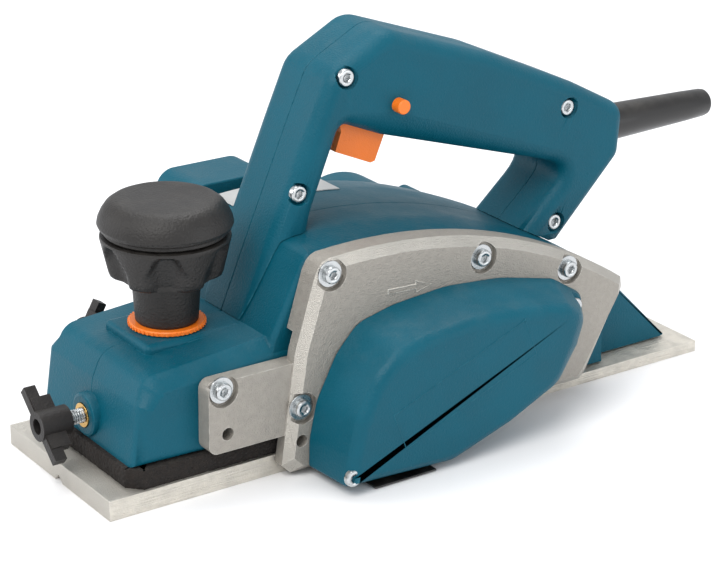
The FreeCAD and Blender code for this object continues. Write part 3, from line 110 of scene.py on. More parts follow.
# %% Camera
BACKWARD = Vector((-0.5374, -0.7562, 0.3734)).normalized()
ACROSS = Vector((0.8151, -0.5793, 0)).normalized()
UPWARD = BACKWARD.cross(ACROSS)
ROLL = math.radians(0.946)
lens = bpy.data.cameras.new("camera")
lens.lens = 116.3
lens.sensor_width = 36
lens.clip_start, lens.clip_end = 0.05, 20
camera = bpy.data.objects.new("camera", lens)
bpy.context.scene.collection.objects.link(camera)
turned_right = ACROSS * math.cos(ROLL) + UPWARD * math.sin(ROLL)
turned_up = UPWARD * math.cos(ROLL) - ACROSS * math.sin(ROLL)
camera.matrix_world = Matrix.Translation((-0.5293, -0.7362, 0.4142)) @ Matrix(
    (turned_right, turned_up, BACKWARD)).transposed().to_4x4()
bpy.context.scene.camera = camera
bpy.context.scene.view_settings.view_transform = "Standard"
print("lens", lens.lens, "mm")


# %% Lamps, sky and floor
def lamp(name, place, target, size, power, colour=(1, 1, 1)):
    """A square soft box that points at a target."""
    light = bpy.data.lights.new(name, "AREA")
    light.size = size
    light.energy = power
    light.color = colour
    holder = bpy.data.objects.new(name, light)
    bpy.context.scene.collection.objects.link(holder)
    direction = Vector(target) - Vector(place)
    holder.matrix_world = Matrix.Translation(place) @ direction.to_track_quat("-Z", "Y").to_matrix().to_4x4()


CENTRE = (0, 0, 0.06)
lamp("key", (-0.9, -0.5, 1.3), CENTRE, 0.9, 16, (1, 0.985, 0.96))
lamp("top", (0.3, 0.5, 1.5), CENTRE, 1.0, 13)
lamp("fill", (0.7, -1.3, 0.5), CENTRE, 1.0, 5, (0.96, 0.98, 1))
lamp("rim", (-1.2, 0.9, 0.6), CENTRE, 0.6, 5)
sky = bpy.data.worlds.new("studio")
sky.use_nodes = True
sky.node_tree.nodes["Background"].inputs["Color"].default_value = (0.95, 0.97, 1, 1)
sky.node_tree.nodes["Background"].inputs["Strength"].default_value = 0.75
bpy.context.scene.world = sky
floor_mesh = bpy.data.meshes.new("floor")
floor_mesh.from_pydata([(-8, -8, 0), (8, -8, 0), (8, 8, 0), (-8, 8, 0)], [], [(0, 1, 2, 3)])
floor = bpy.data.objects.new("floor", floor_mesh)
bpy.context.scene.collection.objects.link(floor)
paper = bpy.data.materials.new("backdrop_paper")
paper.use_nodes = True
paper.node_tree.nodes["Principled BSDF"].inputs["Base Color"].default_value = (0.86, 0.86, 0.87, 1)
paper.node_tree.nodes["Principled BSDF"].inputs["Roughness"].default_value = 0.9
floor_mesh.materials.append(paper)
print("4 lamps and a floor")

# %% [markdown]
# ## Shared effects
# Several finishes share the same effects: a fine moulded grain, broad changes from handling,
# milling lines, a painted highlight along edges and a trace of dust on what faces up. Each effect
# is a node group with named sockets, so every material can call it with its own numbers.


# %% Node helpers
def add(tree, kind, **sockets):
    """A shader node whose inputs are given by name, as values or as links."""
    made = tree.nodes.new(kind)
    for name, value in sockets.items():
        socket = made.inputs[int(name[1:])] if name[1:].isdigit() else made.inputs[name.replace("_", " ")]
        if isinstance(value, bpy.types.NodeSocket):
            tree.links.new(value, socket)
        else:
            socket.default_value = value
    return made


def effect(name, inputs, outputs):
    """An empty node group with named float or vector sockets."""
    tree = bpy.data.node_groups.new(name, "ShaderNodeTree")
    for label, value in inputs.items():
        kind = "NodeSocketVector" if value is None else "NodeSocketFloat"
        socket = tree.interface.new_socket(name=label, in_out="INPUT", socket_type=kind)
        if value is not None:
            socket.default_value = value
    for label in outputs:
        tree.interface.new_socket(name=label, in_out="OUTPUT", socket_type="NodeSocketFloat")
    return tree, tree.nodes.new("NodeGroupInput"), tree.nodes.new("NodeGroupOutput")


def maths(tree, operation, first, second=0.5):
    made = add(tree, "ShaderNodeMath", _0=first, _1=second)
    made.operation = operation
    return made.outputs[0]


def noise(tree, vector, scale, detail=3.0, rough=0.55):
    made = add(tree, "ShaderNodeTexNoise", Vector=vector, Scale=scale, Detail=detail, Roughness=rough)
    return made.outputs["Fac"]


def ramp(tree, value, low, high, to_low=0.0, to_high=1.0):
    made = add(tree, "ShaderNodeMapRange", _0=value, _1=low, _2=high, _3=to_low, _4=to_high)
    made.interpolation_type = "SMOOTHSTEP"
    return made.outputs[0]


# %% Grain of a spark-eroded mould
grain, grain_in, grain_out = effect("moulded_grain", {"Vector": None, "Scale": 1500.0, "Depth": 1.0},
                                    ["Height"])
pebbles = add(grain, "ShaderNodeTexVoronoi", Vector=grain_in.outputs["Vector"],
              Scale=grain_in.outputs["Scale"])
pebbles.feature = "SMOOTH_F1"
fine = noise(grain, grain_in.outputs["Vector"], grain_in.outputs["Scale"])
both = maths(grain, "ADD", pebbles.outputs["Distance"], fine)
grain.links.new(maths(grain, "MULTIPLY", both, grain_in.outputs["Depth"]), grain_out.inputs["Height"])
print("effect", grain.name)

# %% Broad changes from handling
handling, handling_in, handling_out = effect(
    "handling", {"Vector": None, "Scale": 22.0, "Low": 0.4, "High": 0.6}, ["Value", "Mask"])
patches = noise(handling, handling_in.outputs["Vector"], handling_in.outputs["Scale"], 5.0, 0.6)
spread = ramp(handling, patches, 0.3, 0.7)
handling.links.new(spread, handling_out.inputs["Mask"])
handling.links.new(add(handling, "ShaderNodeMapRange", _0=spread, _1=0.0, _2=1.0,
                       _3=handling_in.outputs["Low"], _4=handling_in.outputs["High"]).outputs[0],
                   handling_out.inputs["Value"])
print("effect", handling.name)

# %% Painted highlight along edges
# A painted highlight: sharp edges, found by a bevel, get a paler colour in noisy patches.
edge_highlight, edge_highlight_in, edge_highlight_out = effect("edge_wear", {"Vector": None, "Radius": 0.0006, "Scale": 300.0}, ["Mask"])
soft = add(edge_highlight, "ShaderNodeBevel", Radius=edge_highlight_in.outputs["Radius"])
soft.samples = 4
plain = edge_highlight.nodes.new("ShaderNodeNewGeometry")
facing = edge_highlight.nodes.new("ShaderNodeVectorMath")
facing.operation = "DOT_PRODUCT"
edge_highlight.links.new(soft.outputs[0], facing.inputs[0])
edge_highlight.links.new(plain.outputs["Normal"], facing.inputs[1])
edge = ramp(edge_highlight, maths(edge_highlight, "SUBTRACT", 1.0, facing.outputs["Value"]), 0.01, 0.12)
broken = ramp(edge_highlight, noise(edge_highlight, edge_highlight_in.outputs["Vector"], edge_highlight_in.outputs["Scale"]), 0.35, 0.65)
edge_highlight.links.new(maths(edge_highlight, "MULTIPLY", edge, broken), edge_highlight_out.inputs["Mask"])
print("effect", edge_highlight.name)

# %% Milling and brushing lines
lines, lines_in, lines_out = effect("milling_lines", {"Vector": None, "Along X": 40.0, "Across": 2500.0},
                                    ["Height"])
stretch = lines.nodes.new("ShaderNodeCombineXYZ")
lines.links.new(lines_in.outputs["Along X"], stretch.inputs[0])
lines.links.new(lines_in.outputs["Across"], stretch.inputs[1])
lines.links.new(lines_in.outputs["Across"], stretch.inputs[2])
scaled = lines.nodes.new("ShaderNodeVectorMath")
scaled.operation = "MULTIPLY"
lines.links.new(lines_in.outputs["Vector"], scaled.inputs[0])
lines.links.new(stretch.outputs[0], scaled.inputs[1])
lines.links.new(noise(lines, scaled.outputs[0], 1.0, 2.0), lines_out.inputs["Height"])
print("effect", lines.name)

# %% Dust on what faces up
dust, dust_in, dust_out = effect("settled_dust", {"Vector": None, "Amount": 0.1}, ["Mask"])
way = dust.nodes.new("ShaderNodeNewGeometry")
split = dust.nodes.new("ShaderNodeSeparateXYZ")
dust.links.new(way.outputs["Normal"], split.inputs[0])
level = ramp(dust, split.outputs[2], 0.3, 1.0)
cloud = ramp(dust, noise(dust, dust_in.outputs["Vector"], 90.0, 6.0, 0.7), 0.4, 0.75)
dust.links.new(maths(dust, "MULTIPLY", maths(dust, "MULTIPLY", level, cloud), dust_in.outputs["Amount"]),
               dust_out.inputs["Mask"])
print("effect", dust.name)

# %% [markdown]
# ## Finishes
# One function lays the effects in the same order for every material: colour with broad
# mottling, a paler painted highlight along edges, a little dust, roughness from handling, and a
# bump from the grain or the milling lines. What is the same all over stays on the shader itself.


# %% A finish from its numbers
def srgb(red, green, blue):
    """Eight-bit screen colour to linear light."""
    def linear(value):
        value /= 255
        return value / 12.92 if value <= 0.04045 else ((value + 0.055) / 1.055) ** 2.4
    return (linear(red), linear(green), linear(blue), 1)


def blend_colour(tree, share, first, second):
    made = tree.nodes.new("ShaderNodeMix")
    made.data_type = "RGBA"
    for index, value in ((0, share), (6, first), (7, second)):
        if isinstance(value, bpy.types.NodeSocket):
            tree.links.new(value, made.inputs[index])
        else:
            made.inputs[index].default_value = value
    return made.outputs[2]


def use(tree, group_tree, vector, **values):
    made = tree.nodes.new("ShaderNodeGroup")
    made.node_tree = group_tree
    tree.links.new(vector, made.inputs["Vector"])
    for name, value in values.items():
        made.inputs[name.replace("_", " ")].default_value = value
    return made.outputs


GRAIN_UNDER_LINES = 0.3


def finish(name, colour, rough, metal=0.0, grain_scale=1500, grain_depth=0.0002, mottle=0.1, edge_highlight_share=0.25,
           edge_highlight_colour=(200, 200, 200), dust_share=0.12, along=None, coat=0.0, mottle_scale=35, gloss=0.5):
    material = bpy.data.materials.new(name)
    material.use_nodes = True
    tree = material.node_tree
    shader = tree.nodes["Principled BSDF"]
    place = tree.nodes.new("ShaderNodeTexCoord").outputs["Object"]
    base = srgb(*colour)
    dark = tuple(channel * (1 - mottle) for channel in base[:3]) + (1,)
    pale = tuple(min(1, channel * (1 + mottle)) for channel in base[:3]) + (1,)
    hand = use(tree, handling, place, Scale=mottle_scale, Low=rough[0], High=rough[1])
    tint = blend_colour(tree, hand["Mask"], dark, pale)
    # Painted highlight: sharp edges are blended towards a paler colour.
    edge_highlight_mask = use(tree, edge_highlight, place)["Mask"]
    tint = blend_colour(tree, maths(tree, "MULTIPLY", edge_highlight_mask, edge_highlight_share), tint, srgb(*edge_highlight_colour))
    settled = use(tree, dust, place, Amount=dust_share)["Mask"]
    tint = blend_colour(tree, settled, tint, srgb(190, 182, 168))
    tree.links.new(tint, shader.inputs["Base Color"])
    tree.links.new(hand["Value"], shader.inputs["Roughness"])
    shader.inputs["Metallic"].default_value = metal
    shader.inputs["Coat Weight"].default_value = coat
    shader.inputs["Specular IOR Level"].default_value = gloss
    height = use(tree, grain, place, Scale=grain_scale)["Height"]
    if along:
        faint = maths(tree, "MULTIPLY", height, GRAIN_UNDER_LINES)
        height = maths(tree, "ADD", faint, use(tree, lines, place, **along)["Height"])
    bump = add(tree, "ShaderNodeBump", Height=height, Distance=grain_depth, Strength=1.0)
    tree.links.new(bump.outputs[0], shader.inputs["Normal"])
    return material


# %% Plastics, rubber and foam
teal = finish("teal_plastic", (0, 80, 98), (0.4, 0.52), grain_scale=1300, grain_depth=0.00012, mottle=0.06,
              edge_highlight_share=0.35, edge_highlight_colour=(70, 140, 158), dust_share=0.03, gloss=0.2)
black = finish("black_plastic", (27, 24, 23), (0.42, 0.56), grain_scale=1200, grain_depth=0.00012,
               mottle=0.15, edge_highlight_share=0.25, edge_highlight_colour=(85, 80, 76), dust_share=0.03, gloss=0.35)
knob_rubber = finish("knob_rubber", (22, 19, 17), (0.46, 0.56), grain_scale=1100, grain_depth=0.00016,
                     mottle=0.12, edge_highlight_share=0.2, edge_highlight_colour=(80, 74, 68), dust_share=0.03, gloss=0.5)
cord_rubber = finish("cord_rubber", (17, 15, 14), (0.28, 0.42), grain_scale=2500, grain_depth=0.00005,
                     mottle=0.15, edge_highlight_share=0.1, dust_share=0.06, coat=0.2)
foam = finish("gasket_foam", (30, 25, 22), (0.9, 1.0), grain_scale=700, grain_depth=0.0009, mottle=0.35,
              edge_highlight_share=0.1, edge_highlight_colour=(60, 55, 50), dust_share=0.05, mottle_scale=400)
orange = finish("orange_plastic", (238, 118, 22), (0.32, 0.45), grain_scale=1800, grain_depth=0.00008,
                mottle=0.06, edge_highlight_share=0.25, edge_highlight_colour=(255, 190, 120), dust_share=0.05)
print("plastics ready")

# %% Metals and the label
cast = finish("cast_aluminium", (158, 153, 145), (0.48, 0.6), metal=0.4, grain_scale=1700,
              grain_depth=0.00022, mottle=0.07, edge_highlight_share=0.6, edge_highlight_colour=(235, 231, 224), dust_share=0.02,
              mottle_scale=420)
milled = finish("milled_aluminium", (188, 184, 176), (0.34, 0.5), metal=0.8, grain_scale=2200,
                grain_depth=0.0004, mottle=0.08, edge_highlight_share=0.5, edge_highlight_colour=(240, 238, 232), dust_share=0.02,
                along={"Along_X": 60, "Across": 2600})
sawn = finish("extruded_aluminium", (208, 203, 193), (0.42, 0.58), metal=0.7, grain_scale=1600,
              grain_depth=0.0005, mottle=0.12, edge_highlight_share=0.4, edge_highlight_colour=(232, 228, 220), dust_share=0.05,
              along={"Along_X": 50, "Across": 1800}, mottle_scale=120)
zinc = finish("zinc_plate", (196, 199, 200), (0.24, 0.34), metal=1.0, grain_scale=2500, grain_depth=0.000012,
              mottle=0.05, edge_highlight_share=0.2, edge_highlight_colour=(245, 246, 248), dust_share=0.01, mottle_scale=500)
ground = finish("ground_steel", (176, 176, 176), (0.25, 0.38), metal=1.0, grain_scale=2500,
                grain_depth=0.00008, mottle=0.08, dust_share=0.02, along={"Along_X": 2500, "Across": 90})
blade = finish("honed_blade_steel", (198, 200, 204), (0.12, 0.24), metal=1.0, grain_scale=3000,
               grain_depth=0.00005, mottle=0.06, dust_share=0.02, along={"Along_X": 2800, "Across": 60})
core = finish("core_laminations", (96, 92, 90), (0.4, 0.6), metal=0.8, grain_scale=1500, grain_depth=0.0002,
              mottle=0.15, dust_share=0.05)
copper = finish("enamelled_copper", (150, 76, 40), (0.25, 0.4), metal=0.7, grain_scale=1200,
                grain_depth=0.0004, mottle=0.2, dust_share=0.04, coat=0.4)
carbon = finish("pressed_carbon", (42, 42, 44), (0.5, 0.7), grain_scale=1800, grain_depth=0.0002, mottle=0.2)
brass = finish("turned_brass", (206, 166, 96), (0.2, 0.34), metal=1.0, grain_scale=2500, grain_depth=0.00006,
               mottle=0.1, dust_share=0.02)
label = finish("label_foil", (196, 197, 196), (0.3, 0.42), metal=0.75, grain_scale=3000, grain_depth=0.00005,
               mottle=0.06, edge_highlight_share=0.1, dust_share=0.1, along={"Along_X": 60, "Across": 2400})
print("metals ready")

FINISHES = {"teal_housing": teal, "cast_aluminium": cast, "machined_aluminium": milled,
            "black_plastic": black, "black_rubber": cord_rubber, "gasket_foam": foam,
            "orange_plastic": orange, "zinc_steel": zinc, "ground_steel": ground, "blade_steel": blade,
            "core_steel": core, "copper_winding": copper, "carbon": carbon, "brass": brass,
            "label_silver": label}

# %% [markdown]
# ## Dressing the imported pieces
# Most inner pieces already have the right shape: shafts, bearings, armature, fan, springs. They
# keep their meshes and take the finish of the material slot that the record gives them.

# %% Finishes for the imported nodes
slot_of = {}
for subpart in frame["record"]["subparts"]:
    slot_of[subpart["node"]] = subpart["material_slot"]
for name, obj in frame["nodes"].items():
    obj.data.materials.clear()
    obj.data.materials.append(FINISHES[slot_of[name]])
print("dressed", len(slot_of), "packed nodes")

# %% [markdown]
# ## Ways of making a moulding
# A moulded half-shell is an outline that rises from the parting line to its outer face, with a
# rounded or bevelled rim. Building it ring by ring keeps the rounding smooth and even, where a
# bevel on a finished solid would tear at tight corners. Each corner of the outline says how
# round it is and which rim it carries.


# %% Outlines
def flat(back, rise):
    """A point of an outline, from distances behind and above the drum's axis."""
    return Vector((DRUM.x + back, DRUM.z + rise))


def rounded(corners, segments=5):
    """A closed outline from corners (back, rise, radius, rim); each corner gives segments + 1 points."""
    points, rims = [], []
    count = len(corners)
    for number, corner in enumerate(corners):
        here = flat(corner[0], corner[1])
        last, following = flat(*corners[number - 1][:2]), flat(*corners[(number + 1) % count][:2])
        to_last, to_next = last - here, following - here
        half = to_last.angle(to_next) / 2
        radius = corner[2] if len(corner) > 2 else 0
        reach = min(radius / math.tan(half), 0.48 * to_last.length, 0.48 * to_next.length)
        rim = corner[3] if len(corner) > 3 else "edge"
        if reach < 0.01:
            points.append(here)
            rims.append(rim)
            continue
        start, end = here + to_last.normalized() * reach, here + to_next.normalized() * reach
        for step in range(segments + 1):
            share = step / segments
            points.append(start.lerp(here, share).lerp(here.lerp(end, share), share))
            rims.append(rim)
    return points, rims


def mitres(points):
    """The inward direction at each corner, long enough to keep the edges' spacing."""
    area = sum(points[i - 1].x * points[i].y - points[i].x * points[i - 1].y for i in range(len(points)))
    turn = 1 if area > 0 else -1
    inward = []
    for number, here in enumerate(points):
        before = (here - points[number - 1]).normalized()
        after = (points[(number + 1) % len(points)] - here).normalized()
        first, second = Vector((-before.y, before.x)) * turn, Vector((-after.y, after.x)) * turn
        inward.append((first + second) / max(0.2, 1 + first.dot(second)))
    return inward


# %% Mesh to object
def finished(name, mesh, *materials, sharp=28):
    """A bmesh becomes an object with smooth faces that break at sharp edges."""
    bmesh.ops.recalc_face_normals(mesh, faces=mesh.faces)
    data = bpy.data.meshes.new(name)
    mesh.to_mesh(data)
    mesh.free()
    for material in materials:
        data.materials.append(material)
    data.polygons.foreach_set("use_smooth", [True] * len(data.polygons))
    data.set_sharp_from_angle(angle=math.radians(sharp))
    obj = bpy.data.objects.new(name, data)
    bpy.context.scene.collection.objects.link(obj)
    return obj


HAIR = (0.013 * MM, 0.007 * MM, 0.011 * MM)
TRIES = 6
LEAST_SHARE = 0.98
SLIVER = 0.002 * MM


def applied(obj):
    """The object's modifiers become its mesh."""
    bpy.context.view_layer.update()
    graph = bpy.context.evaluated_depsgraph_get()
    data = bpy.data.meshes.new_from_object(obj.evaluated_get(graph), preserve_all_data_layers=True,
                                           depsgraph=graph)
    obj.modifiers.clear()
    spent = obj.data
    obj.data = data
    bpy.data.meshes.remove(spent)
    data.name = obj.name
    return obj


def bevelled(obj, width, segments=2, angle=32):
    """Small round on every edge sharper than the angle, then normals weighted by face."""
    modifier = obj.modifiers.new("edges", "BEVEL")
    modifier.width = width * MM
    modifier.segments = segments
    modifier.limit_method = "ANGLE"
    modifier.angle_limit = math.radians(angle)
    modifier.miter_outer = "MITER_ARC"
    applied(obj)
    obj.data.polygons.foreach_set("use_smooth", [True] * len(obj.data.polygons))
    obj.modifiers.new("weights", "WEIGHTED_NORMAL").keep_sharp = True
    return applied(obj)


def measured(obj):
    """Volume, and the number of edges that don't join exactly two faces."""
    mesh = bmesh.new()
    mesh.from_mesh(obj.data)
    inside, torn = mesh.calc_volume(), sum(1 for edge in mesh.edges if not edge.is_manifold)
    mesh.free()
    return inside, torn


def combined(obj, tools, operation):
    """Join tools to the object, or take them away. The solver can lose a solid where two faces
    coincide, so the result is measured, and a tool that fails is moved a hair and used again.
    A tool that fails every try is left out and the object stays as it was. The test looks only for
    lost volume and open edges, so a cut that does nothing passes it."""
    for tool in tools:
        (before, torn_before), (part, _) = measured(obj), measured(tool)
        least = before - part if operation == "DIFFERENCE" else max(before, part)
        kept = obj.data.copy()
        for _ in range(TRIES):
            modifier = obj.modifiers.new("combine", "BOOLEAN")
            modifier.operation = operation
            modifier.solver = "EXACT"
            modifier.object = tool
            modifier.use_self = bool(tool.get("overlaps"))
            applied(obj)
            after, torn = measured(obj)
            if after > LEAST_SHARE * least and torn <= torn_before:
                break
            obj.data = kept.copy()
            tool.data.transform(Matrix.Translation(HAIR))
        bpy.data.objects.remove(tool)
    return obj


def carved(obj, *tools):
    return combined(obj, tools, "DIFFERENCE")


def joined(obj, *tools):
    return combined(obj, tools, "UNION")


def polished(obj, sharp=28):
    """Slivers left by cutting are closed up, and large flat faces keep flat normals."""
    mesh = bmesh.new()
    mesh.from_mesh(obj.data)
    bmesh.ops.remove_doubles(mesh, verts=mesh.verts, dist=SLIVER)
    bmesh.ops.dissolve_degenerate(mesh, edges=mesh.edges, dist=SLIVER)
    print(obj.name, "open edges:", sum(1 for edge in mesh.edges if not edge.is_manifold))
    mesh.to_mesh(obj.data)
    mesh.free()
    obj.data.polygons.foreach_set("use_smooth", [True] * len(obj.data.polygons))
    obj.data.set_sharp_from_angle(angle=math.radians(sharp))
    obj.modifiers.new("weights", "WEIGHTED_NORMAL").keep_sharp = True
    return applied(obj)


def fitted(obj, body, slot, *nodes):
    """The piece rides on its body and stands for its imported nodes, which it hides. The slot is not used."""
    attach(obj, body)
    if nodes:
        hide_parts(*nodes)
    print(obj.name, len(obj.data.polygons), "faces")
    return obj


# %% Solids to cut and join with
def block(low, high, *materials):
    mesh = bmesh.new()
    low, high = Vector(low), Vector(high)
    bmesh.ops.create_cube(mesh, size=MM)
    bmesh.ops.scale(mesh, vec=high - low, verts=mesh.verts)
    bmesh.ops.translate(mesh, vec=(low + high) / 2 * MM, verts=mesh.verts)
    return finished("block", mesh, *materials)


def swept(profile, centre, axis, *materials, sides=64, name="turned"):
    """A lathe piece: profile points are (radius, station along the axis); both ends close at radius 0."""
    mesh = bmesh.new()
    rings = []
    for radius, station in profile:
        ring = []
        for step in range(sides if radius > 1e-6 else 1):
            angle = 2 * math.pi * step / sides
            side_one, side_two = radius * math.cos(angle), radius * math.sin(angle)
            spot = {"X": (station, side_one, side_two), "Y": (side_one, station, side_two),
                    "Z": (side_one, side_two, station)}[axis]
            ring.append(mesh.verts.new((Vector(spot) + Vector(centre)) * MM))
        rings.append(ring)
    closed = profile[0][0] > 1e-6
    for number in range(len(rings) if closed else len(rings) - 1):
        first, second = rings[number], rings[(number + 1) % len(rings)]
        for step in range(sides):
            after = (step + 1) % sides
            corners = [first[step % len(first)], first[after % len(first)],
                       second[after % len(second)], second[step % len(second)]]
            unique = list(dict.fromkeys(corners))
            if len(unique) > 2:
                mesh.faces.new(unique)
    return finished(name, mesh, *materials)


def rod(centre, axis, radius, low, high, sides=48):
    """A plain cylinder between two stations, for cutting and joining."""
    centre = Vector(centre)
    centre["XYZ".index(axis)] = 0
    return swept(((0, low), (radius, low), (radius, high), (0, high)), centre, axis, sides=sides)


def prism(points, low, high, *materials):
    mesh = bmesh.new()
    foot = [mesh.verts.new((point.x * MM, low * MM, point.y * MM)) for point in points]
    head = [mesh.verts.new((point.x * MM, high * MM, point.y * MM)) for point in points]
    mesh.faces.new(foot)
    mesh.faces.new(head)
    for number in range(len(points)):
        mesh.faces.new((foot[number - 1], foot[number], head[number], head[number - 1]))
    bmesh.ops.recalc_face_normals(mesh, faces=mesh.faces)
    bmesh.ops.triangulate(mesh, faces=mesh.faces)
    return finished("prism", mesh, *materials)


# %% A moulding, ring by ring
def moulding(name, outline, low, high, rim_sizes, materials, face=None, wall=0, floor=3, seam=0.3, steps=6):
    """An outline raised from Y = low to Y = high. rim_sizes maps a rim's name to how far it
    reaches across the face, how deep down the side, and how straight it is (0 round, 1 flat)."""
    foot, rims = outline
    face = face[0] if face else foot
    out = 1 if high > low else -1
    inward = mitres(face)
    mesh = bmesh.new()

    def ring(spots):
        return [mesh.verts.new((x * MM, y * MM, z * MM)) for x, y, z in spots]

    def at(number, y, inset):
        base = foot[number].lerp(face[number], (y - low) / (high - low))
        base = base + inward[number] * inset
        return (base.x, y, base.y)
    everyone = range(len(foot))
    rings = [ring([at(i, low, seam) for i in everyone]), ring([at(i, low + out * seam, 0) for i in everyone])]
    for step in range(steps + 1):
        share = step / steps
        turn = share * math.pi / 2
        spots = []
        for number in everyone:
            across, deep, straight = rim_sizes[rims[number]]
            inset = (1 - math.cos(turn)) * (1 - straight) + share * straight
            drop = (1 - math.sin(turn)) * (1 - straight) + (1 - share) * straight
            spots.append(at(number, high - out * deep * drop, across * inset))
        rings.append(ring(spots))
    for number, (first, second) in enumerate(zip(rings, rings[1:])):
        for step in everyone:
            made = mesh.faces.new((first[step - 1], first[step], second[step], second[step - 1]))
            flat_rim = rim_sizes[rims[step]][2] > 0.9 and rim_sizes[rims[step - 1]][2] > 0.9
            made.material_index = 1 if len(materials) > 1 and number > 1 and flat_rim else 0
    mesh.faces.new(rings[-1])
    if wall:
        inner_foot = ring([at(i, low, wall) for i in everyone])
        inner_top = ring([at(i, high - out * floor, wall + 1) for i in everyone])
        for first, second in ((rings[0], inner_foot), (inner_foot, inner_top)):
            for step in everyone:
                mesh.faces.new((first[step - 1], first[step], second[step], second[step - 1]))
        mesh.faces.new(inner_top)
    else:
        mesh.faces.new(rings[0])
    bmesh.ops.recalc_face_normals(mesh, faces=mesh.faces)
    bmesh.ops.triangulate(mesh, faces=mesh.faces)
    return finished(name, mesh, *materials)


print("makers ready")

# %% [markdown]
# ## The housing
# Two teal shells meet on the machine's middle plane. The nose carries the depth knob, the hood
# climbs to an arched back over the drum and motor, and a wedge tail runs out over the rear sole.
# The arch has a crease along its length, where its crown falls away to the plate.

# %% The arch that the body, plate and tail share
ARCH_BACK, ARCH_DROP, ARCH_RADIUS = 3, 169, 235
BROW, ARCH_END = -15, 135.4
HOOD = 32


def arch(back, inset=0.0):
    """Height of the body's arch above the drum's axis."""
    return math.sqrt((ARCH_RADIUS - inset) ** 2 - (back - ARCH_BACK) ** 2) - ARCH_DROP


def arch_corners(start, end, rim, inset=0.0, count=22):
    """Corners along the arch, for an outline."""
    stations = [start + (end - start) * step / count for step in range(count + 1)]
    return [(station, arch(station, inset), 0, rim) for station in stations]


def chamber_corners(grow, start_rise, end_rise, rim="edge", count=20):
    """The drum's chamber from behind the drum, over it, to its front."""
    reach = CHAMBER + grow
    first = math.asin(start_rise / reach)
    last = math.pi - math.asin(end_rise / reach)
    return [(reach * math.cos(first + (last - first) * step / count),
             reach * math.sin(first + (last - first) * step / count), 0, rim) for step in range(count + 1)]


print("arch rises", round(arch(ARCH_BACK), 1), "mm above the drum axis")


# %% Outlines of nose, body and tail
FLOOR = NOSE_FLOOR - DRUM.z
SEAT = SOLE_SEAT - DRUM.z
NOSE = NOSE_FRONT - DRUM.x
TAIL = TAIL_TIP - DRUM.x


def nose_outline(inset=0.0):
    return rounded([
        (NOSE + inset, FLOOR + inset, 0, "front"), (NOSE + 3.4 + inset, HOOD - 15, 6, "front"),
        (NOSE + 8 + inset, HOOD - 4.4 - inset, 9, "top"), (-36, HOOD - inset, 0, "top"),
        (-26, HOOD - inset, 0, "top"), *chamber_corners(inset, 10, FLOOR + inset)[12:]])


def body_outline(inset=0.0):
    return rounded([
        (-40 + inset, HOOD - 14, 0, "slope"), (-36 + inset, HOOD - inset, 3, "slope"),
        (-22.6 + inset, HOOD + 27, 4, "slope"), (-19.5 + inset, arch(-19.5) - 1 - inset, 4, "slope"),
        *arch_corners(BROW, ARCH_END + 0.8, "arch", inset),
        (ARCH_END + 0.8, SEAT + inset, 0, "edge"), *chamber_corners(inset, SEAT + inset, HOOD - 14)])


def tail_outline():
    return rounded([
        (ARCH_END - 12, arch(ARCH_END - 12) - 0.6, 0, "tail"), (ARCH_END, arch(ARCH_END), 6, "tail"),
        (TAIL - 0.4, SEAT + 0.4, 0.8, "tail"), (TAIL - 3, SEAT, 0, "edge"), (ARCH_END - 12, SEAT, 0, "edge")])


def over_body(gap):
    """What lies under the body's upper line, with a gap, as a plain outline."""
    return rounded([
        (-80, -5), (-80, HOOD + gap), (-36 - gap, HOOD + gap), (-22.6 - gap, HOOD + 27, 4),
        (-19.5 - gap, arch(-19.5) - 1 + gap, 4), *arch_corners(BROW, ARCH_END, "edge", -gap), (TAIL, -5)])


HOUSING_RIMS = {"edge": (0.6, 0.6, 0), "front": (5, 5, 0.1), "top": (7, 7, 0.75), "slope": (2.2, 2.6, 0.2),
                "arch": (2.4, 19, 0.85), "tail": (1.2, 1.2, 0.2)}
HOLLOW_RIMS = {rim: (2, 2, 0.2) for rim in HOUSING_RIMS}
print("outlines of", len(nose_outline()[0]), len(body_outline()[0]), len(tail_outline()[0]), "points")


# %% Hollows and halves
WALL = 3


def grown(outline, amount):
    """The same outline, moved outwards by the amount, or inwards if it is negative."""
    points, rims = outline
    return [point - inward * amount for point, inward in zip(points, mitres(points))], rims


def half_of(obj, side):
    """Keep what lies on one side of the parting plane, just clear of it."""
    reach = 400
    low, high = sorted((side * SEAM, -side * reach))
    return carved(obj, block((-reach, low, -reach), (reach, high, reach)))


PAD_TOP = span("depth_ring")[0].z - 0.3
PAD_HALF, PAD_FRONT, PAD_BACK = 17, -118.6, -74
SOCKET = Vector((-123.8, 25.4))
SOCKET_HALF = 5.6
print("knob pad top at", round(PAD_TOP, 1))

# %% [markdown]
# The shell is a sum of three mouldings, pad and boss, less the same mouldings drawn smaller.
# Taking one from the other leaves an even wall, as a real mould would, and the rounded rims
# stay rounded on the inside too.


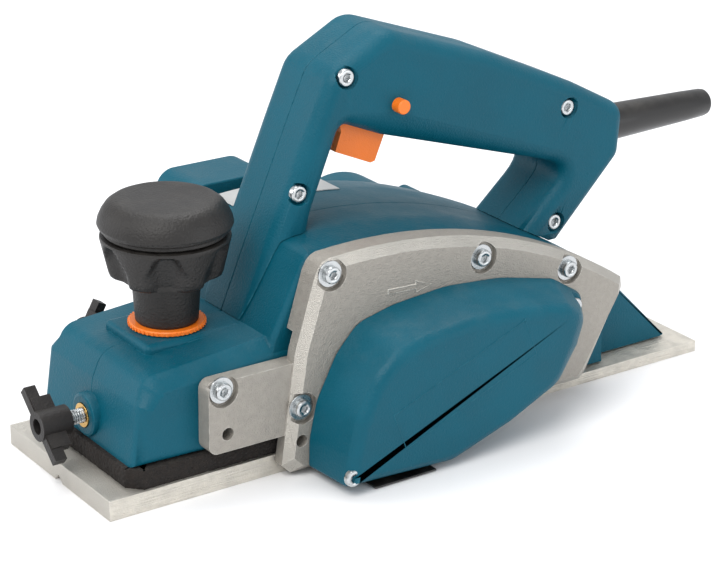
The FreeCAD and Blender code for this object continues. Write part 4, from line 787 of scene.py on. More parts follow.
# %% One half of the housing
def housing_half(side, nose_half, body_half, node):
    sections = ((nose_outline(), nose_half), (body_outline(), body_half), (tail_outline(), TAIL_HALF))
    shell, *others = [moulding("section", outline, side * SEAM, side * half, HOUSING_RIMS, [teal])
                      for outline, half in sections]
    pad = bevelled(block((PAD_FRONT, -PAD_HALF, PAD_TOP - 12), (PAD_BACK, PAD_HALF, PAD_TOP), teal), 2.2, 4)
    boss = swept(((0, NOSE_FRONT - 1.4), (7.6, NOSE_FRONT - 1.4), (8.6, NOSE_FRONT - 1), (9, NOSE_FRONT),
                  (9, NOSE_FRONT + 8), (0, NOSE_FRONT + 8)), (0, 0, FRONT_WING.z), "X", teal)
    shell = joined(shell, *others, half_of(pad, side), half_of(boss, side))
    hollows = [moulding("hollow", outline(WALL), -side * 2, side * (half - WALL), HOLLOW_RIMS, [teal])
               for outline, half in ((nose_outline, nose_half), (body_outline, body_half))]
    shell = carved(shell, *hollows)
    spindle = span("depth_spindle")
    stud = span("wing_stud_front")
    openings = [
        rod(KNOB, "Z", (spindle[1].x - spindle[0].x) / 2 + 0.6, PAD_TOP - 20, PAD_TOP + 2),
        rod((0, 0, FRONT_WING.z), "X", (stud[1].y - stud[0].y) / 2 + 2.2, NOSE_FRONT - 4, NOSE_FRONT + 12),
        block((NOSE_FRONT + 9, -30, NOSE_FLOOR - 2), (-68, 30, NOSE_FLOOR + 8))]
    if side > 0:
        cap, chute = span("motor_end_cap"), span("chip_chute")
        openings.append(rod(MOTOR, "Y", 26, BODY_FAR - 6, BODY_FAR + 3))
        openings.append(block((chute[0].x + 2.5, BODY_FAR - 6, chute[0].z + 2.5),
                              (chute[1].x - 2.5, BODY_FAR + 3, chute[1].z - 2.5)))
        print("end cap", round(cap[1].x - cap[0].x, 1), "mm across")
    else:
        openings.append(rod(MOTOR, "Y", 9, BODY_NEAR - 3, BODY_NEAR + 6))
    shell = carved(shell, *openings)
    if side < 0:
        shell = fence_socket(shell)
    return fitted(polished(shell), "housing", "teal_housing", node)


def fence_socket(shell):
    """The square hole for a guide bar, its raised frame, and the ribs that brace it."""
    face = -NOSE_HALF

    def square(half, deep, proud):
        return block((SOCKET.x - half, face - proud, SOCKET.y - half),
                     (SOCKET.x + half, face + deep, SOCKET.y + half))
    frame_ring = bevelled(square(SOCKET_HALF + 1.7, 15, 0.9), 0.5, 2)
    upright = bevelled(block((-117.6, face - 0.9, NOSE_FLOOR + 0.4), (-116, face + 2, 45)), 0.5, 2)
    shelf = bevelled(block((-134.6, face - 0.9, 33.6), (-117, face + 2, 34.8)), 0.4, 2)
    shell = joined(shell, frame_ring, upright, shelf)
    panel = block((-133, face - 2, 35.8), (-118.6, face + 0.9, 44))
    return carved(shell, panel, square(SOCKET_HALF, 13.5, 3))


housing_half(-1, NOSE_HALF, -BODY_NEAR, "housing_left")
housing_half(1, NOSE_HALF, BODY_FAR, "housing_right")

# %% [markdown]
# ## The handle
# The D-shaped handle is two mouldings as well. Its outer edge has an even round, while the
# edge next to the fingers rolls in much farther, up to a crease on the cheek. One outline with
# two kinds of rim gives both without any sculpting.

# %% Handle outline
HANDLE = rounded([
    (-39, 26, 0, "outer"), (-25, 60, 0, "outer"), (-5.4, 106.5, 20, "outer"), (4.2, 128.5, 14, "outer"),
    (31, 142.6, 12, "outer"), (88, 123, 60, "outer"), (131, 104, 60, "outer"), (158.5, 89.5, 9, "outer"),
    (157, 68, 8, "outer"), (124, 34, 0, "outer"), (94, 34, 0, "inner"), (131.6, 67.7, 9, "inner"),
    (31.2, 98.2, 5, "grip"), (9.6, 107.3, 5, "inner"), (-5.1, 70.3, 40, "inner"), (-9, 26, 0, "inner")], 8)
HANDLE_RIMS = {"outer": (6.5, 7.5, 0.05), "inner": (6, 5.5, 0.2), "grip": (11, 6.5, 0.5)}
TRIGGER_SLOT = rounded([(10, 88), (36, 80), (41.5, 100), (38, 106), (14, 109), (12, 103)])
HANDLE_SCREWS = ((10.9, 126.1), (-11.2, 82), (125.1, 94.9), (120.9, 44.1))
print(len(HANDLE[0]), "points round the handle")


# %% One half of the handle
def handle_half(name, side, node):
    grip = moulding(name, HANDLE, side * SEAM, side * HANDLE_HALF, HANDLE_RIMS, [teal], steps=9)
    hollow = moulding("hollow", grown(HANDLE, -WALL), -side * 2, side * (HANDLE_HALF - 7),
                      {key: (2, 2, 0.2) for key in HANDLE_RIMS}, [teal], steps=3)
    body = prism(over_body(0.3)[0], -60, 60)
    pad = block((PAD_FRONT - 0.3, -PAD_HALF - 0.3, 0), (PAD_BACK + 0.3, PAD_HALF + 0.3, PAD_TOP + 0.3))
    slot = bevelled(prism(TRIGGER_SLOT[0], -8.6, 8.6), 0.6, 2)
    button = span("lock_button")
    middle = (button[0] + button[1]) / 2
    bore = rod(middle, "Y", (button[1].x - button[0].x) / 2 + 0.4, -40, 40)
    recesses = []
    for back, rise in HANDLE_SCREWS:
        spot = flat(back, rise)
        low, high = sorted((side * (HANDLE_HALF - 3.4), side * (HANDLE_HALF + 4)))
        recesses.append(rod((spot.x, 0, spot.y), "Y", 4.6, low, high, 36))
    guard = span("cord_guard")
    throat = rod((0, 0, (guard[0].z + guard[1].z) / 2), "X", (guard[1].z - guard[0].z) / 2 + 0.15,
                 guard[0].x - 1, guard[1].x + 2)
    grip = carved(grip, *recesses, hollow, body, pad, slot, bore, throat)
    return fitted(polished(grip), "housing", "teal_housing", node)


handle_half("handle_near_shell", -1, "handle_left")
handle_half("handle_far_shell", 1, "handle_right")

# %% [markdown]
# ## Castings and machined pieces
# The side plate, shoe, sole, wing knobs, trigger and caps already have their exact shape in the
# frame. What a machined solid lacks is its broken edge: no real edge is infinitely sharp, and
# the thin highlight on it tells the eye how big the piece is. So each gets a merged copy with a
# small round on every edge.


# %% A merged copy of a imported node
def merged_copy(node):
    mesh = bmesh.new()
    mesh.from_mesh(frame["nodes"][node].data)
    bmesh.ops.remove_doubles(mesh, verts=mesh.verts, dist=0.00002)
    bmesh.ops.dissolve_limit(mesh, angle_limit=math.radians(0.8), verts=mesh.verts, edges=mesh.edges)
    return mesh


def softened(node, width, body="housing", name=None, segments=2):
    piece = finished(name or node + "_piece", merged_copy(node), FINISHES[slot_of[node]])
    bevelled(piece, width, segments)
    return fitted(piece, body, slot_of[node], node)


def machined(piece, choose, material=milled):
    """Faces that the test picks take a machined finish."""
    piece.data.materials.append(material)
    place = len(piece.data.materials) - 1
    for face in piece.data.polygons:
        if choose(face.center / MM, face.normal):
            face.material_index = place


# %% Side plate
plate = softened("side_plate", 0.35)
machined(plate, lambda at, way: at.y < PLATE_FACE + 4.5 and -0.96 < way.y < -0.3)
print("plate face at", round(PLATE_FACE, 1))

# %% Turning arrow
# It is cast into the plate's face and shows which way the drum turns.
ARROW = ((-28, 71.6), (-14.5, 71), (-14.5, 72.5), (-7, 69.5), (-14.4, 67.7), (-14.4, 69.2), (-28, 69.8))

# %% Shoe and sole
shoe = softened("front_shoe", 0.3, "front_shoe")
machined(shoe, lambda at, way: way.z < -0.3 or abs(way.y) > 0.5, sawn)
sole = softened("rear_sole", 0.3)
machined(sole, lambda at, way: True, sawn)

# %% Other hard pieces
BODIES = {"trigger": "trigger", "lock_button": "lock_button", "wing_knob_front": "front_wing_screw",
          "wing_knob_side": "side_wing_screw", "rebate_stop": "rebate_stop"}
for node, width in (("trigger", 0.9), ("lock_button", 0.4), ("wing_knob_front", 0.6), ("wing_knob_side", 0.6),
                    ("rebate_stop", 0.4), ("bearing_plate", 0.4), ("chip_chute", 0.6), ("motor_end_cap", 0.7),
                    ("nameplate", 0.15), ("brush_caps", 0.3), ("cover_strip", 0.15), ("brass_insert", 0.2),
                    ("blades", 0.04), ("cutter_drum", 0.2), ("blade_clamps", 0.15)):
    owner = BODIES.get(node, "cutter" if node in ("blades", "cutter_drum", "blade_clamps") else "housing")
    softened(node, width, owner)

# %% Shoe springs
springs = fitted(finished("shoe_springs_piece", merged_copy("shoe_springs"), ground), "housing",
                 slot_of["shoe_springs"], "shoe_springs")
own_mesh(springs)

# %% [markdown]
# ## Belt cover
# The cover is one thin moulding with a softly rolled rim. Its vents follow a tilted rectangle,
# so a geometry-node tree turns plain edges into long round-ended cutters: one edge per vent.

# %% Cover outlines
COVER_CORNERS = (
    (-27.2, -20, -26, -19.5, 2), (-27.2, -8, -24, -7, 20), (-24, 8, -20, 9, 20), (-15, 26, -11, 25, 20),
    (-5, 37, -2, 32, 14), (12, 41, 12, 36, 40), (38, 43.3, 38, 38, 60), (66, 41, 66, 35.5, 60),
    (94, 34.5, 83, 33, 12), (110, 24.5, 91, 26, 8), (112, 12, 86.5, 14, 9), (94, -2, 79, -0.5, 14),
    (56, -14.4, 55, -12, 40), (27, -22.4, 26, -21.6, 9))
cover_foot = rounded([(back, rise, radius) for back, rise, _, _, radius in COVER_CORNERS])
cover_face = rounded([(back, rise, radius) for _, _, back, rise, radius in COVER_CORNERS])
cover = moulding("belt_cover_shell", cover_foot, COVER_FOOT, COVER_FACE, {"edge": (4.5, 4.5, 0.12)}, [teal],
                 face=cover_face, wall=2.5, floor=2.6, seam=0.15, steps=7)
print(len(cover_foot[0]), "points round the cover")


# %% Geometry nodes helper
def gn_tree(name, inputs):
    tree = bpy.data.node_groups.new(name, "GeometryNodeTree")
    tree.interface.new_socket(name="Geometry", in_out="INPUT", socket_type="NodeSocketGeometry")
    for label, kind in inputs:
        tree.interface.new_socket(name=label, in_out="INPUT", socket_type="NodeSocket" + kind)
    tree.interface.new_socket(name="Geometry", in_out="OUTPUT", socket_type="NodeSocketGeometry")
    return tree, tree.nodes.new("NodeGroupInput"), tree.nodes.new("NodeGroupOutput")


def gn_finish(tree, source, group_in, group_out):
    """Every tree ends with real geometry and its material."""
    real = tree.nodes.new("GeometryNodeRealizeInstances")
    paint = tree.nodes.new("GeometryNodeSetMaterial")
    tree.links.new(source, real.inputs[0])
    tree.links.new(real.outputs[0], paint.inputs["Geometry"])
    tree.links.new(group_in.outputs["Material"], paint.inputs["Material"])
    tree.links.new(paint.outputs[0], group_out.inputs[0])


def gn_apply(obj, tree, **values):
    """Set the tree's inputs by their identifiers, then keep the result as a plain mesh."""
    modifier = obj.modifiers.new("nodes", "NODES")
    modifier.node_group = tree
    sockets = {item.name: item.identifier for item in tree.interface.items_tree if item.in_out == "INPUT"}
    for name, value in values.items():
        modifier[sockets[name.replace("_", " ")]] = value
    return applied(obj)


def wired(name, points, edges=()):
    mesh = bpy.data.meshes.new(name)
    mesh.from_pydata([Vector(point) * MM for point in points], list(edges), [])
    obj = bpy.data.objects.new(name, mesh)
    bpy.context.scene.collection.objects.link(obj)
    return obj


# %% Vent cutter tree
vents_tree, vents_in, vents_out = gn_tree("round_ended_slots", [("Radius", "Float"), ("Stretch", "Float"),
                                                                ("Material", "Material")])
curve = vents_tree.nodes.new("GeometryNodeMeshToCurve")
profile = vents_tree.nodes.new("GeometryNodeCurvePrimitiveCircle")
profile.inputs["Resolution"].default_value = 16
tube = vents_tree.nodes.new("GeometryNodeCurveToMesh")
tube.inputs["Fill Caps"].default_value = True
ball = vents_tree.nodes.new("GeometryNodeMeshUVSphere")
ball.inputs["Segments"].default_value, ball.inputs["Rings"].default_value = 16, 8
on_ends = vents_tree.nodes.new("GeometryNodeInstanceOnPoints")
both_parts = vents_tree.nodes.new("GeometryNodeJoinGeometry")
for start, end in ((vents_in.outputs["Geometry"], curve.inputs[0]), (curve.outputs[0], tube.inputs["Curve"]),
                   (vents_in.outputs["Radius"], profile.inputs["Radius"]),
                   (profile.outputs[0], tube.inputs["Profile Curve"]),
                   (vents_in.outputs["Radius"], ball.inputs["Radius"]),
                   (vents_in.outputs["Geometry"], on_ends.inputs["Points"]),
                   (ball.outputs[0], on_ends.inputs["Instance"]), (tube.outputs[0], both_parts.inputs[0]),
                   (on_ends.outputs[0], both_parts.inputs[0])):
    vents_tree.links.new(start, end)
gn_finish(vents_tree, both_parts.outputs[0], vents_in, vents_out)
print("tree", vents_tree.name)

# %% Turning arrow in place
arrow = wired("turning_arrow", [(x, PLATE_FACE + 0.1, z) for x, z in ARROW],
              [(number, (number + 1) % len(ARROW)) for number in range(len(ARROW))])
gn_apply(arrow, vents_tree, Radius=0.38 * MM, Material=milled)
fitted(arrow, "housing", "cast_aluminium")

# %% Trigger pin
pin_low, pin_high = span("trigger_pin")
pin_middle, PIN_HALF = (pin_low + pin_high) / 2, 11
pin = swept([(0, -PIN_HALF), (1.2, -PIN_HALF), (1.45, -PIN_HALF + 0.3), (1.45, PIN_HALF - 0.3),
             (1.2, PIN_HALF), (0, PIN_HALF)], (pin_middle.x, 0, pin_middle.z), "Y", zinc, sides=32,
            name="trigger_axle")
fitted(pin, "housing", slot_of["trigger_pin"], "trigger_pin")

# %% Vents, panel, recess and notch
TILT = math.atan2(MOTOR.z - DRUM.z, MOTOR.x - DRUM.x) + math.radians(2)
PANEL = flat(30, 12)
VENTS = ((-26.5, -7.5, 23.8), (-26.8, -7.8, 17.5), (-26.9, -6, 11.4), (-4, 10.2, 17.6), (-1.7, 26.4, 11.4),
         (-25.3, 3, -11.2), (-18.8, 5.3, -17.2), (-12.3, 7.7, -23.9), (7, 25.9, -11), (9.3, 26, -17.2),
         (11.7, 25.9, -23.9))


def on_panel(along, rise, y):
    """A point given in the tilted frame of the cover's panel."""
    return (PANEL.x + along * math.cos(TILT) - rise * math.sin(TILT), y,
            PANEL.y + along * math.sin(TILT) + rise * math.cos(TILT))


def vent_cutters():
    ends = [on_panel(along, rise, 0) for start, end, rise in VENTS for along in (start, end)]
    cutters = wired("vents", ends, [(2 * number, 2 * number + 1) for number in range(len(VENTS))])
    gn_apply(cutters, vents_tree, Radius=1.8 * MM, Material=teal)
    cutters.data.transform(Matrix.Translation((0, (COVER_FACE + 1) * MM, 0)) @ Matrix.Diagonal((1, 3, 1, 1)))
    cutters["overlaps"] = True
    return cutters


def panel_line():
    """A fine raised outline round the panel."""
    corners = [(-34.5, -8.7), (34.5, -8.7), (34.5, 8.7), (-34.5, 8.7)]
    bars = wired("panel_outline", [on_panel(a, b, COVER_FACE + 0.12) for a, b in corners],
                 [(0, 1), (1, 2), (2, 3), (3, 0)])
    return gn_apply(bars, vents_tree, Radius=0.32 * MM, Material=teal)


def cover_tools():
    recess, notch = flat(-23, -15.6), flat(103.4, 21.5)
    return (rod((recess.x, 0, recess.y), "Y", 5, COVER_FACE - 4, COVER_FACE + 12, 40),
            bevelled(block((notch.x - 6, COVER_FOOT - 30, notch.y - 7),
                           (notch.x + 12, COVER_FOOT - 3.5, notch.y + 7)), 1.5, 3))


cover = carved(cover, vent_cutters(), *cover_tools())
fitted(polished(cover), "housing", "teal_housing", "belt_cover")
fitted(panel_line(), "housing", "teal_housing")

# %% [markdown]
# ## Depth knob
# The knob's grip is a turned body with hollows pressed round it for the fingers. That is a
# rule, so the turned grid goes through a tree: it counts the hollows, sets how deep they go and
# gives each an arched top. The cap above stays round.

# %% Scallop tree
scallops, scallops_in, scallops_out = gn_tree("scalloped_grip", [
    ("Count", "Float"), ("Depth", "Float"), ("Low", "Float"), ("High", "Float"), ("Arch", "Float"),
    ("Centre", "Vector"), ("Material", "Material")])


def gn_math(tree, operation, *values):
    made = tree.nodes.new("ShaderNodeMath")
    made.operation = operation
    for index, value in enumerate(values):
        if isinstance(value, bpy.types.NodeSocket):
            tree.links.new(value, made.inputs[index])
        else:
            made.inputs[index].default_value = value
    return made.outputs[0]


def gn_smooth(tree, value, low, high):
    """Soft step from 0 at low to 1 at high."""
    made = tree.nodes.new("ShaderNodeMapRange")
    made.interpolation_type = "SMOOTHSTEP"
    for name, given in (("Value", value), ("From Min", low), ("From Max", high)):
        if isinstance(given, bpy.types.NodeSocket):
            tree.links.new(given, made.inputs[name])
        else:
            made.inputs[name].default_value = given
    return made.outputs[0]


def scallop_nodes():
    tree, given = scallops, scallops_in.outputs
    away = tree.nodes.new("ShaderNodeVectorMath")
    away.operation = "SUBTRACT"
    tree.links.new(tree.nodes.new("GeometryNodeInputPosition").outputs[0], away.inputs[0])
    tree.links.new(given["Centre"], away.inputs[1])
    parts = tree.nodes.new("ShaderNodeSeparateXYZ")
    tree.links.new(away.outputs[0], parts.inputs[0])
    angle = gn_math(tree, "ARCTAN2", parts.outputs[1], parts.outputs[0])
    wave = gn_math(tree, "COSINE", gn_math(tree, "MULTIPLY", angle, given["Count"]))
    hollow = gn_smooth(tree, wave, -0.75, 1.0)
    top = gn_math(tree, "SUBTRACT", given["High"], gn_math(tree, "MULTIPLY", given["Arch"],
                                                           gn_math(tree, "SUBTRACT", 1.0, hollow)))
    below = gn_math(tree, "SUBTRACT", 1.0, gn_smooth(tree, parts.outputs[2],
                                                     gn_math(tree, "SUBTRACT", top, 0.0022), top))
    above = gn_smooth(tree, parts.outputs[2], given["Low"], gn_math(tree, "ADD", given["Low"], 0.004))
    push = gn_math(tree, "MULTIPLY", gn_math(tree, "MULTIPLY", hollow, given["Depth"]),
                   gn_math(tree, "MULTIPLY", below, above))
    level = tree.nodes.new("ShaderNodeCombineXYZ")
    tree.links.new(parts.outputs[0], level.inputs[0])
    tree.links.new(parts.outputs[1], level.inputs[1])
    unit = tree.nodes.new("ShaderNodeVectorMath")
    unit.operation = "NORMALIZE"
    tree.links.new(level.outputs[0], unit.inputs[0])
    length = tree.nodes.new("ShaderNodeVectorMath")
    length.operation = "LENGTH"
    tree.links.new(level.outputs[0], length.inputs[0])
    push = gn_math(tree, "MULTIPLY", push, gn_smooth(tree, length.outputs["Value"], 0.0142, 0.0195))
    offset = tree.nodes.new("ShaderNodeVectorMath")
    offset.operation = "SCALE"
    tree.links.new(unit.outputs[0], offset.inputs[0])
    tree.links.new(gn_math(tree, "MULTIPLY", push, -1.0), offset.inputs["Scale"])
    moved = tree.nodes.new("GeometryNodeSetPosition")
    tree.links.new(given["Geometry"], moved.inputs["Geometry"])
    tree.links.new(offset.outputs[0], moved.inputs["Offset"])
    gn_finish(tree, moved.outputs[0], scallops_in, scallops_out)


scallop_nodes()
print("tree", scallops.name)


# %% Grip and cap
def filled(profile, step):
    """Extra stations along the straight runs of a profile, so that a tree can bend them."""
    dense = []
    for (r0, z0), (r1, z1) in zip(profile, profile[1:]):
        count = max(1, math.ceil(math.hypot(r1 - r0, z1 - z0) / step))
        dense += [(r0 + (r1 - r0) * i / count, z0 + (z1 - z0) * i / count) for i in range(count)]
    return dense + [profile[-1]]


neck = span("depth_ring")[1].z
spindle_top = span("knob_body")[1].z
GRIP_PROFILE = [(4.1, neck + 0.1), (12.2, neck + 0.1), (12.6, neck + 0.6), (13.8, 76), (14.4, 76.6),
                (20.8, 76.8), (22, 77.7), (22.7, 79.5), (25.9, 93.4), (25.7, 94.4), (24.6, spindle_top - 0.1),
                (4.1, spindle_top - 0.1), (4.1, neck + 0.1)]
grip = swept(filled(GRIP_PROFILE, 0.8)[:-1], (KNOB.x, KNOB.y, 0), "Z", knob_rubber, sides=180,
             name="knob_grip")
gn_apply(grip, scallops, Count=6.0, Depth=4.6 * MM, Low=74.5 * MM, High=93.6 * MM, Arch=9 * MM,
         Centre=(KNOB.x * MM, KNOB.y * MM, 0.0), Material=knob_rubber)
grip.data.set_sharp_from_angle(angle=math.radians(40))
fitted(grip, "depth_knob", "black_plastic", "knob_body")

cap_low, cap_high = span("knob_cap")[0].z, span("knob_cap")[1].z
CAP_PROFILE = [(0, cap_low), (24.2, cap_low), (24.6, cap_low + 0.5), (24.4, 96.8), (24.9, 97.3), (26.2, 97.9),
               (26.8, 99.3), (26.4, 101.3), (25.2, 104), (23.4, 106.6), (21.2, cap_high - 0.9),
               (19.4, cap_high - 0.15), (17.5, cap_high), (0, cap_high - 0.1)]
cap = swept(CAP_PROFILE, (KNOB.x, KNOB.y, 0), "Z", knob_rubber, sides=120, name="knob_top")
fitted(cap, "depth_knob", "black_plastic", "knob_cap")

# %% [markdown]
# ## Depth ring
# The bright orange scale ring under the knob has a milled edge: the same small tooth again and
# again round a circle. A tree places them, so the count and size are plain numbers.

# %% Tooth tree
teeth, teeth_in, teeth_out = gn_tree("teeth_round_circle",
                                     [("Count", "Int"), ("Radius", "Float"), ("Tooth", "Vector"),
                                      ("Centre", "Vector"), ("Material", "Material")])
circle = teeth.nodes.new("GeometryNodeMeshCircle")
shift = teeth.nodes.new("GeometryNodeTransform")
tooth = teeth.nodes.new("GeometryNodeMeshCube")
place = teeth.nodes.new("GeometryNodeInstanceOnPoints")
turn = teeth.nodes.new("FunctionNodeAlignRotationToVector")
turn.axis = "X"
normal = teeth.nodes.new("GeometryNodeInputPosition")
all_of_it = teeth.nodes.new("GeometryNodeJoinGeometry")
for start, end in ((teeth_in.outputs["Count"], circle.inputs["Vertices"]),
                   (teeth_in.outputs["Radius"], circle.inputs["Radius"]),
                   (teeth_in.outputs["Tooth"], tooth.inputs["Size"]),
                   (circle.outputs[0], place.inputs["Points"]), (tooth.outputs[0], place.inputs["Instance"]),
                   (normal.outputs[0], turn.inputs["Vector"]), (turn.outputs[0], place.inputs["Rotation"]),
                   (place.outputs[0], shift.inputs["Geometry"]),
                   (teeth_in.outputs["Centre"], shift.inputs["Translation"]),
                   (shift.outputs[0], all_of_it.inputs[0]),
                   (teeth_in.outputs["Geometry"], all_of_it.inputs[0])):
    teeth.links.new(start, end)
gn_finish(teeth, all_of_it.outputs[0], teeth_in, teeth_out)
print("tree", teeth.name)

# %% Ring
ring_low, ring_high = span("depth_ring")[0], span("depth_ring")[1]
RING = 15.2
ring = swept([(4.1, ring_low.z), (RING - 0.3, ring_low.z), (RING, ring_low.z + 0.3),
              (RING, ring_high.z - 0.4), (RING - 0.4, ring_high.z), (4.1, ring_high.z)], (KNOB.x, KNOB.y, 0),
             "Z", orange, sides=96, name="scale_ring")
gn_apply(ring, teeth, Count=48, Radius=RING * MM, Tooth=(0.9 * MM, 0.8 * MM, 1.2 * MM),
         Centre=(KNOB.x * MM, KNOB.y * MM, (ring_low.z + ring_high.z) / 2 * MM), Material=orange)
ring.data.set_sharp_from_angle(angle=math.radians(35))
fitted(ring, "depth_knob", "orange_plastic", "depth_ring")

# %% [markdown]
# ## Foam gasket
# A strip of open-cell foam seals the gap between shoe and nose, and is pressed flat as the shoe
# rises. Its cut face is coarse. Real bumps in the mesh show at its silhouette, which a shading
# trick can't give, so the wall is a fine grid pushed in and out at random.


# %% Foam strip
def foam_strip():
    low, high = span("shoe_gasket")
    corner, width, cell = 6, 7, 1.0
    loop = [(high.x, low.y), (high.x, high.y), (low.x + corner, high.y), (low.x, high.y - corner),
            (low.x, low.y + corner), (low.x + corner, low.y)]
    mesh = bmesh.new()
    dense = []
    for number, here in enumerate(loop):
        there = loop[(number + 1) % len(loop)]
        count = math.ceil(math.dist(here, there) / cell)
        dense += [Vector(here).lerp(Vector(there), step / count) for step in range(count)]
    inward = mitres(dense)
    across = max(3, round((high.z - low.z) / cell))
    rows = []
    for step in range(across + 1):
        z = low.z + (high.z - low.z) * step / across
        row = []
        for spot, way in zip(dense, inward):
            rough = 0.35 * field.noise(Vector((spot.x, spot.y, z)) * 0.8) + 0.2 * field.noise(
                Vector((spot.x, spot.y, z)) * 2.1)
            belly = 0.5 * (2 * step / across - 1) ** 2
            at = spot + way * (0.6 + belly + rough)
            row.append(mesh.verts.new((at.x * MM, at.y * MM, z * MM)))
        rows.append(row)
    for z in (high.z, low.z):
        rows.append([mesh.verts.new(((spot + way * width).x * MM, (spot + way * width).y * MM, z * MM))
                     for spot, way in zip(dense, inward)])
    for first, second in zip(rows, rows[1:] + rows[:1]):
        for step in range(len(dense)):
            mesh.faces.new((first[step - 1], first[step], second[step], second[step - 1]))
    return finished("foam_strip", mesh, foam, sharp=60)


strip = foam_strip()
fitted(strip, "housing", "gasket_foam", "shoe_gasket")
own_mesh(strip)

# %% [markdown]
# ## Fasteners
# Round-headed screws with hexagon sockets hold the plate, cover, handle, sole and end cap. One
# detailed screw is enough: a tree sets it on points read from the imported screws, turned by a
# seeded random angle, because nobody lines screws up when tightening them.

# %% Fastener tree
fasteners, fasteners_in, fasteners_out = gn_tree("fasteners", [
    ("Piece", "Object"), ("Seed", "Int"), ("Material", "Material")])


def fastener_nodes():
    tree, given = fasteners, fasteners_in.outputs
    info = tree.nodes.new("GeometryNodeObjectInfo")
    tree.links.new(given["Piece"], info.inputs["Object"])
    way = tree.nodes.new("GeometryNodeInputNamedAttribute")
    way.data_type = "FLOAT_VECTOR"
    way.inputs["Name"].default_value = "facing"
    size = tree.nodes.new("GeometryNodeInputNamedAttribute")
    size.data_type = "FLOAT"
    size.inputs["Name"].default_value = "size"
    align = tree.nodes.new("FunctionNodeAlignRotationToVector")
    align.axis = "Z"
    tree.links.new(way.outputs["Attribute"], align.inputs["Vector"])
    chance = tree.nodes.new("FunctionNodeRandomValue")
    chance.data_type = "FLOAT"
    chance.inputs["Max"].default_value = 2 * math.pi
    tree.links.new(given["Seed"], chance.inputs["Seed"])
    spin = tree.nodes.new("FunctionNodeAxisAngleToRotation")
    tree.links.new([o for o in chance.outputs if o.enabled][0], spin.inputs["Angle"])
    turned = tree.nodes.new("FunctionNodeRotateRotation")
    turned.rotation_space = "LOCAL"
    tree.links.new(align.outputs[0], turned.inputs["Rotation"])
    tree.links.new(spin.outputs[0], turned.inputs["Rotate By"])
    put = tree.nodes.new("GeometryNodeInstanceOnPoints")
    tree.links.new(given["Geometry"], put.inputs["Points"])
    tree.links.new(info.outputs["Geometry"], put.inputs["Instance"])
    tree.links.new(turned.outputs[0], put.inputs["Rotation"])
    tree.links.new(size.outputs["Attribute"], put.inputs["Scale"])
    gn_finish(tree, put.outputs[0], fasteners_in, fasteners_out)


fastener_nodes()
print("tree", fasteners.name)


# %% Patterns for a screw and a washer, one millimetre in radius
def screw_pattern():
    screw = swept([(0, -1.7), (0.42, -1.7), (0.45, -0.72), (0.96, -0.72), (1, -0.66), (1, -0.3),
                   (0.96, -0.13), (0.86, -0.03), (0.74, 0), (0, 0)], (0, 0, 0), "Z", sides=32,
                  name="screw_pattern")
    return carved(screw, rod((0, 0, 0), "Z", 0.5, -0.46, 0.3, sides=6))


def washer_pattern():
    return swept([(0.5, -0.17), (0.97, -0.17), (1, -0.14), (1, -0.03), (0.97, 0), (0.5, 0)], (0, 0, 0), "Z",
                 sides=40, name="washer_pattern")


def islands(node):
    """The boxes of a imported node's separate solids, in millimetres."""
    mesh = merged_copy(node)
    unseen, boxes = set(mesh.verts), []
    while unseen:
        queue = [unseen.pop()]
        low, high = queue[0].co.copy(), queue[0].co.copy()
        while queue:
            here = queue.pop()
            low = Vector(map(min, low, here.co))
            high = Vector(map(max, high, here.co))
            for link in here.link_edges:
                other = link.other_vert(here)
                if other in unseen:
                    unseen.remove(other)
                    queue.append(other)
        boxes.append((low / MM, high / MM))
    mesh.free()
    return sorted(boxes, key=lambda pair: tuple(pair[0]))


PATTERNS = {"screw": screw_pattern(), "washer": washer_pattern()}


def fastened(name, node, axis, sign, pattern, seed, material=zinc):
    """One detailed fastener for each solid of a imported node, facing along the signed axis."""
    number = "XYZ".index(axis)
    sides = [index for index in range(3) if index != number]
    spots, sizes = [], []
    for low, high in islands(node):
        spot = (low + high) / 2
        spot[number] = high[number] if sign > 0 else low[number]
        spots.append(spot)
        sizes.append(max(high[side] - low[side] for side in sides) / 2)
    points = wired(name, spots)
    facing = Vector((0, 0, 0))
    facing[number] = sign
    ways = points.data.attributes.new("facing", "FLOAT_VECTOR", "POINT")
    ways.data.foreach_set("vector", [value for _ in spots for value in facing])
    points.data.attributes.new("size", "FLOAT", "POINT").data.foreach_set("value", sizes)
    gn_apply(points, fasteners, Piece=PATTERNS[pattern], Seed=seed, Material=material)
    fitted(points, "housing", slot_of[node], node)


print("patterns of", [len(piece.data.polygons) for piece in PATTERNS.values()], "faces")

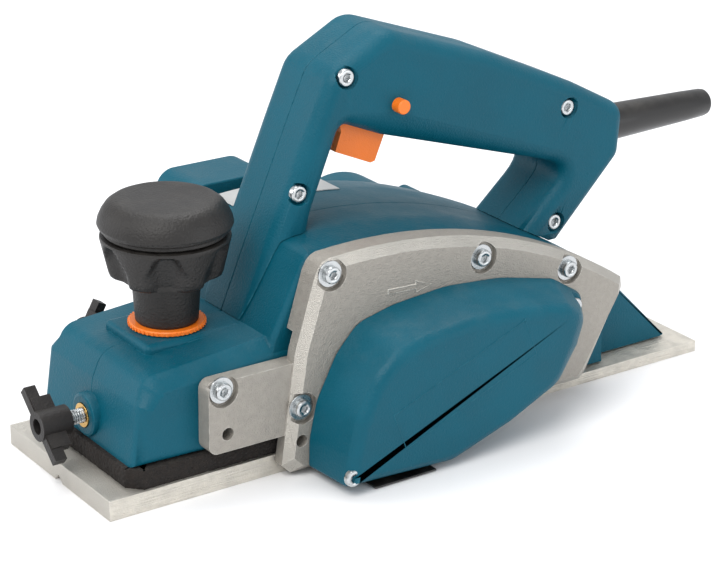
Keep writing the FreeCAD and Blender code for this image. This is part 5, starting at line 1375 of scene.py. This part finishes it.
# %% Screws and washers in place
fastened("plate_screw_set", "plate_screws", "Y", -1, "screw", 3)
fastened("plate_washer_set", "plate_washers", "Y", -1, "washer", 4)
fastened("cover_screw_set", "cover_screws", "Y", -1, "screw", 5)
fastened("handle_screw_set", "handle_screws", "Y", -1, "screw", 7)
fastened("end_cap_screw_set", "end_cap_screws", "Y", 1, "screw", 8)
fastened("sole_screw_set", "sole_screws", "Z", -1, "screw", 9)
for pattern in PATTERNS.values():
    bpy.data.objects.remove(pattern)

# %% [markdown]
# ## Threaded studs and cord guard
# The wing knobs pull on zinc-plated studs. Each thread is a row of ridges on a turned profile,
# which looks the same as a helix at this size and stays a closed mesh. The cord guard is turned
# as well, with a bore for the flex.


# %% Studs
def stud(name, node, body, axis, centre):
    low, high = span(node)
    number = "XYZ".index(axis)
    radius = min(high[side] - low[side] for side in range(3) if side != number) / 2
    start, end = low[number], high[number]
    pitch, deep = 1.0, 0.55
    profile = [(0, start), (radius - 0.8, start)]
    for turn_number in range(int((end - start - 0.8) / pitch)):
        station = start + 0.4 + turn_number * pitch
        profile += [(radius - deep, station), (radius, station + pitch * 0.45),
                    (radius, station + pitch * 0.55)]
    profile += [(radius - 0.8, end), (0, end)]
    piece = swept(profile, centre, axis, zinc, sides=48, name=name)
    return fitted(piece, body, slot_of[node], node)


stud("front_stud_thread", "wing_stud_front", "front_wing_screw", "X", (0, FRONT_WING.y, FRONT_WING.z))
stud("side_stud_thread", "wing_stud_side", "side_wing_screw", "Y", (SIDE_WING.x, 0, SIDE_WING.z))

# %% Cord guard
guard_low, guard_high = span("cord_guard")
GUARD_END, GUARD_ROOT, BORE = 6.3, (guard_high.z - guard_low.z) / 2, 3.9
guard = swept([(BORE, guard_low.x), (GUARD_ROOT, guard_low.x), (GUARD_ROOT, guard_low.x + 18),
               (GUARD_END + 0.5, guard_high.x - 14), (GUARD_END, guard_high.x - 3),
               (GUARD_END - 0.4, guard_high.x - 1.2), (GUARD_END - 1.2, guard_high.x - 0.3),
               (BORE + 0.5, guard_high.x), (BORE, guard_high.x - 0.6)],
              (0, 0, (guard_low.z + guard_high.z) / 2), "X", cord_rubber, sides=64, name="cord_guard_sleeve")
fitted(guard, "housing", slot_of["cord_guard"], "cord_guard")
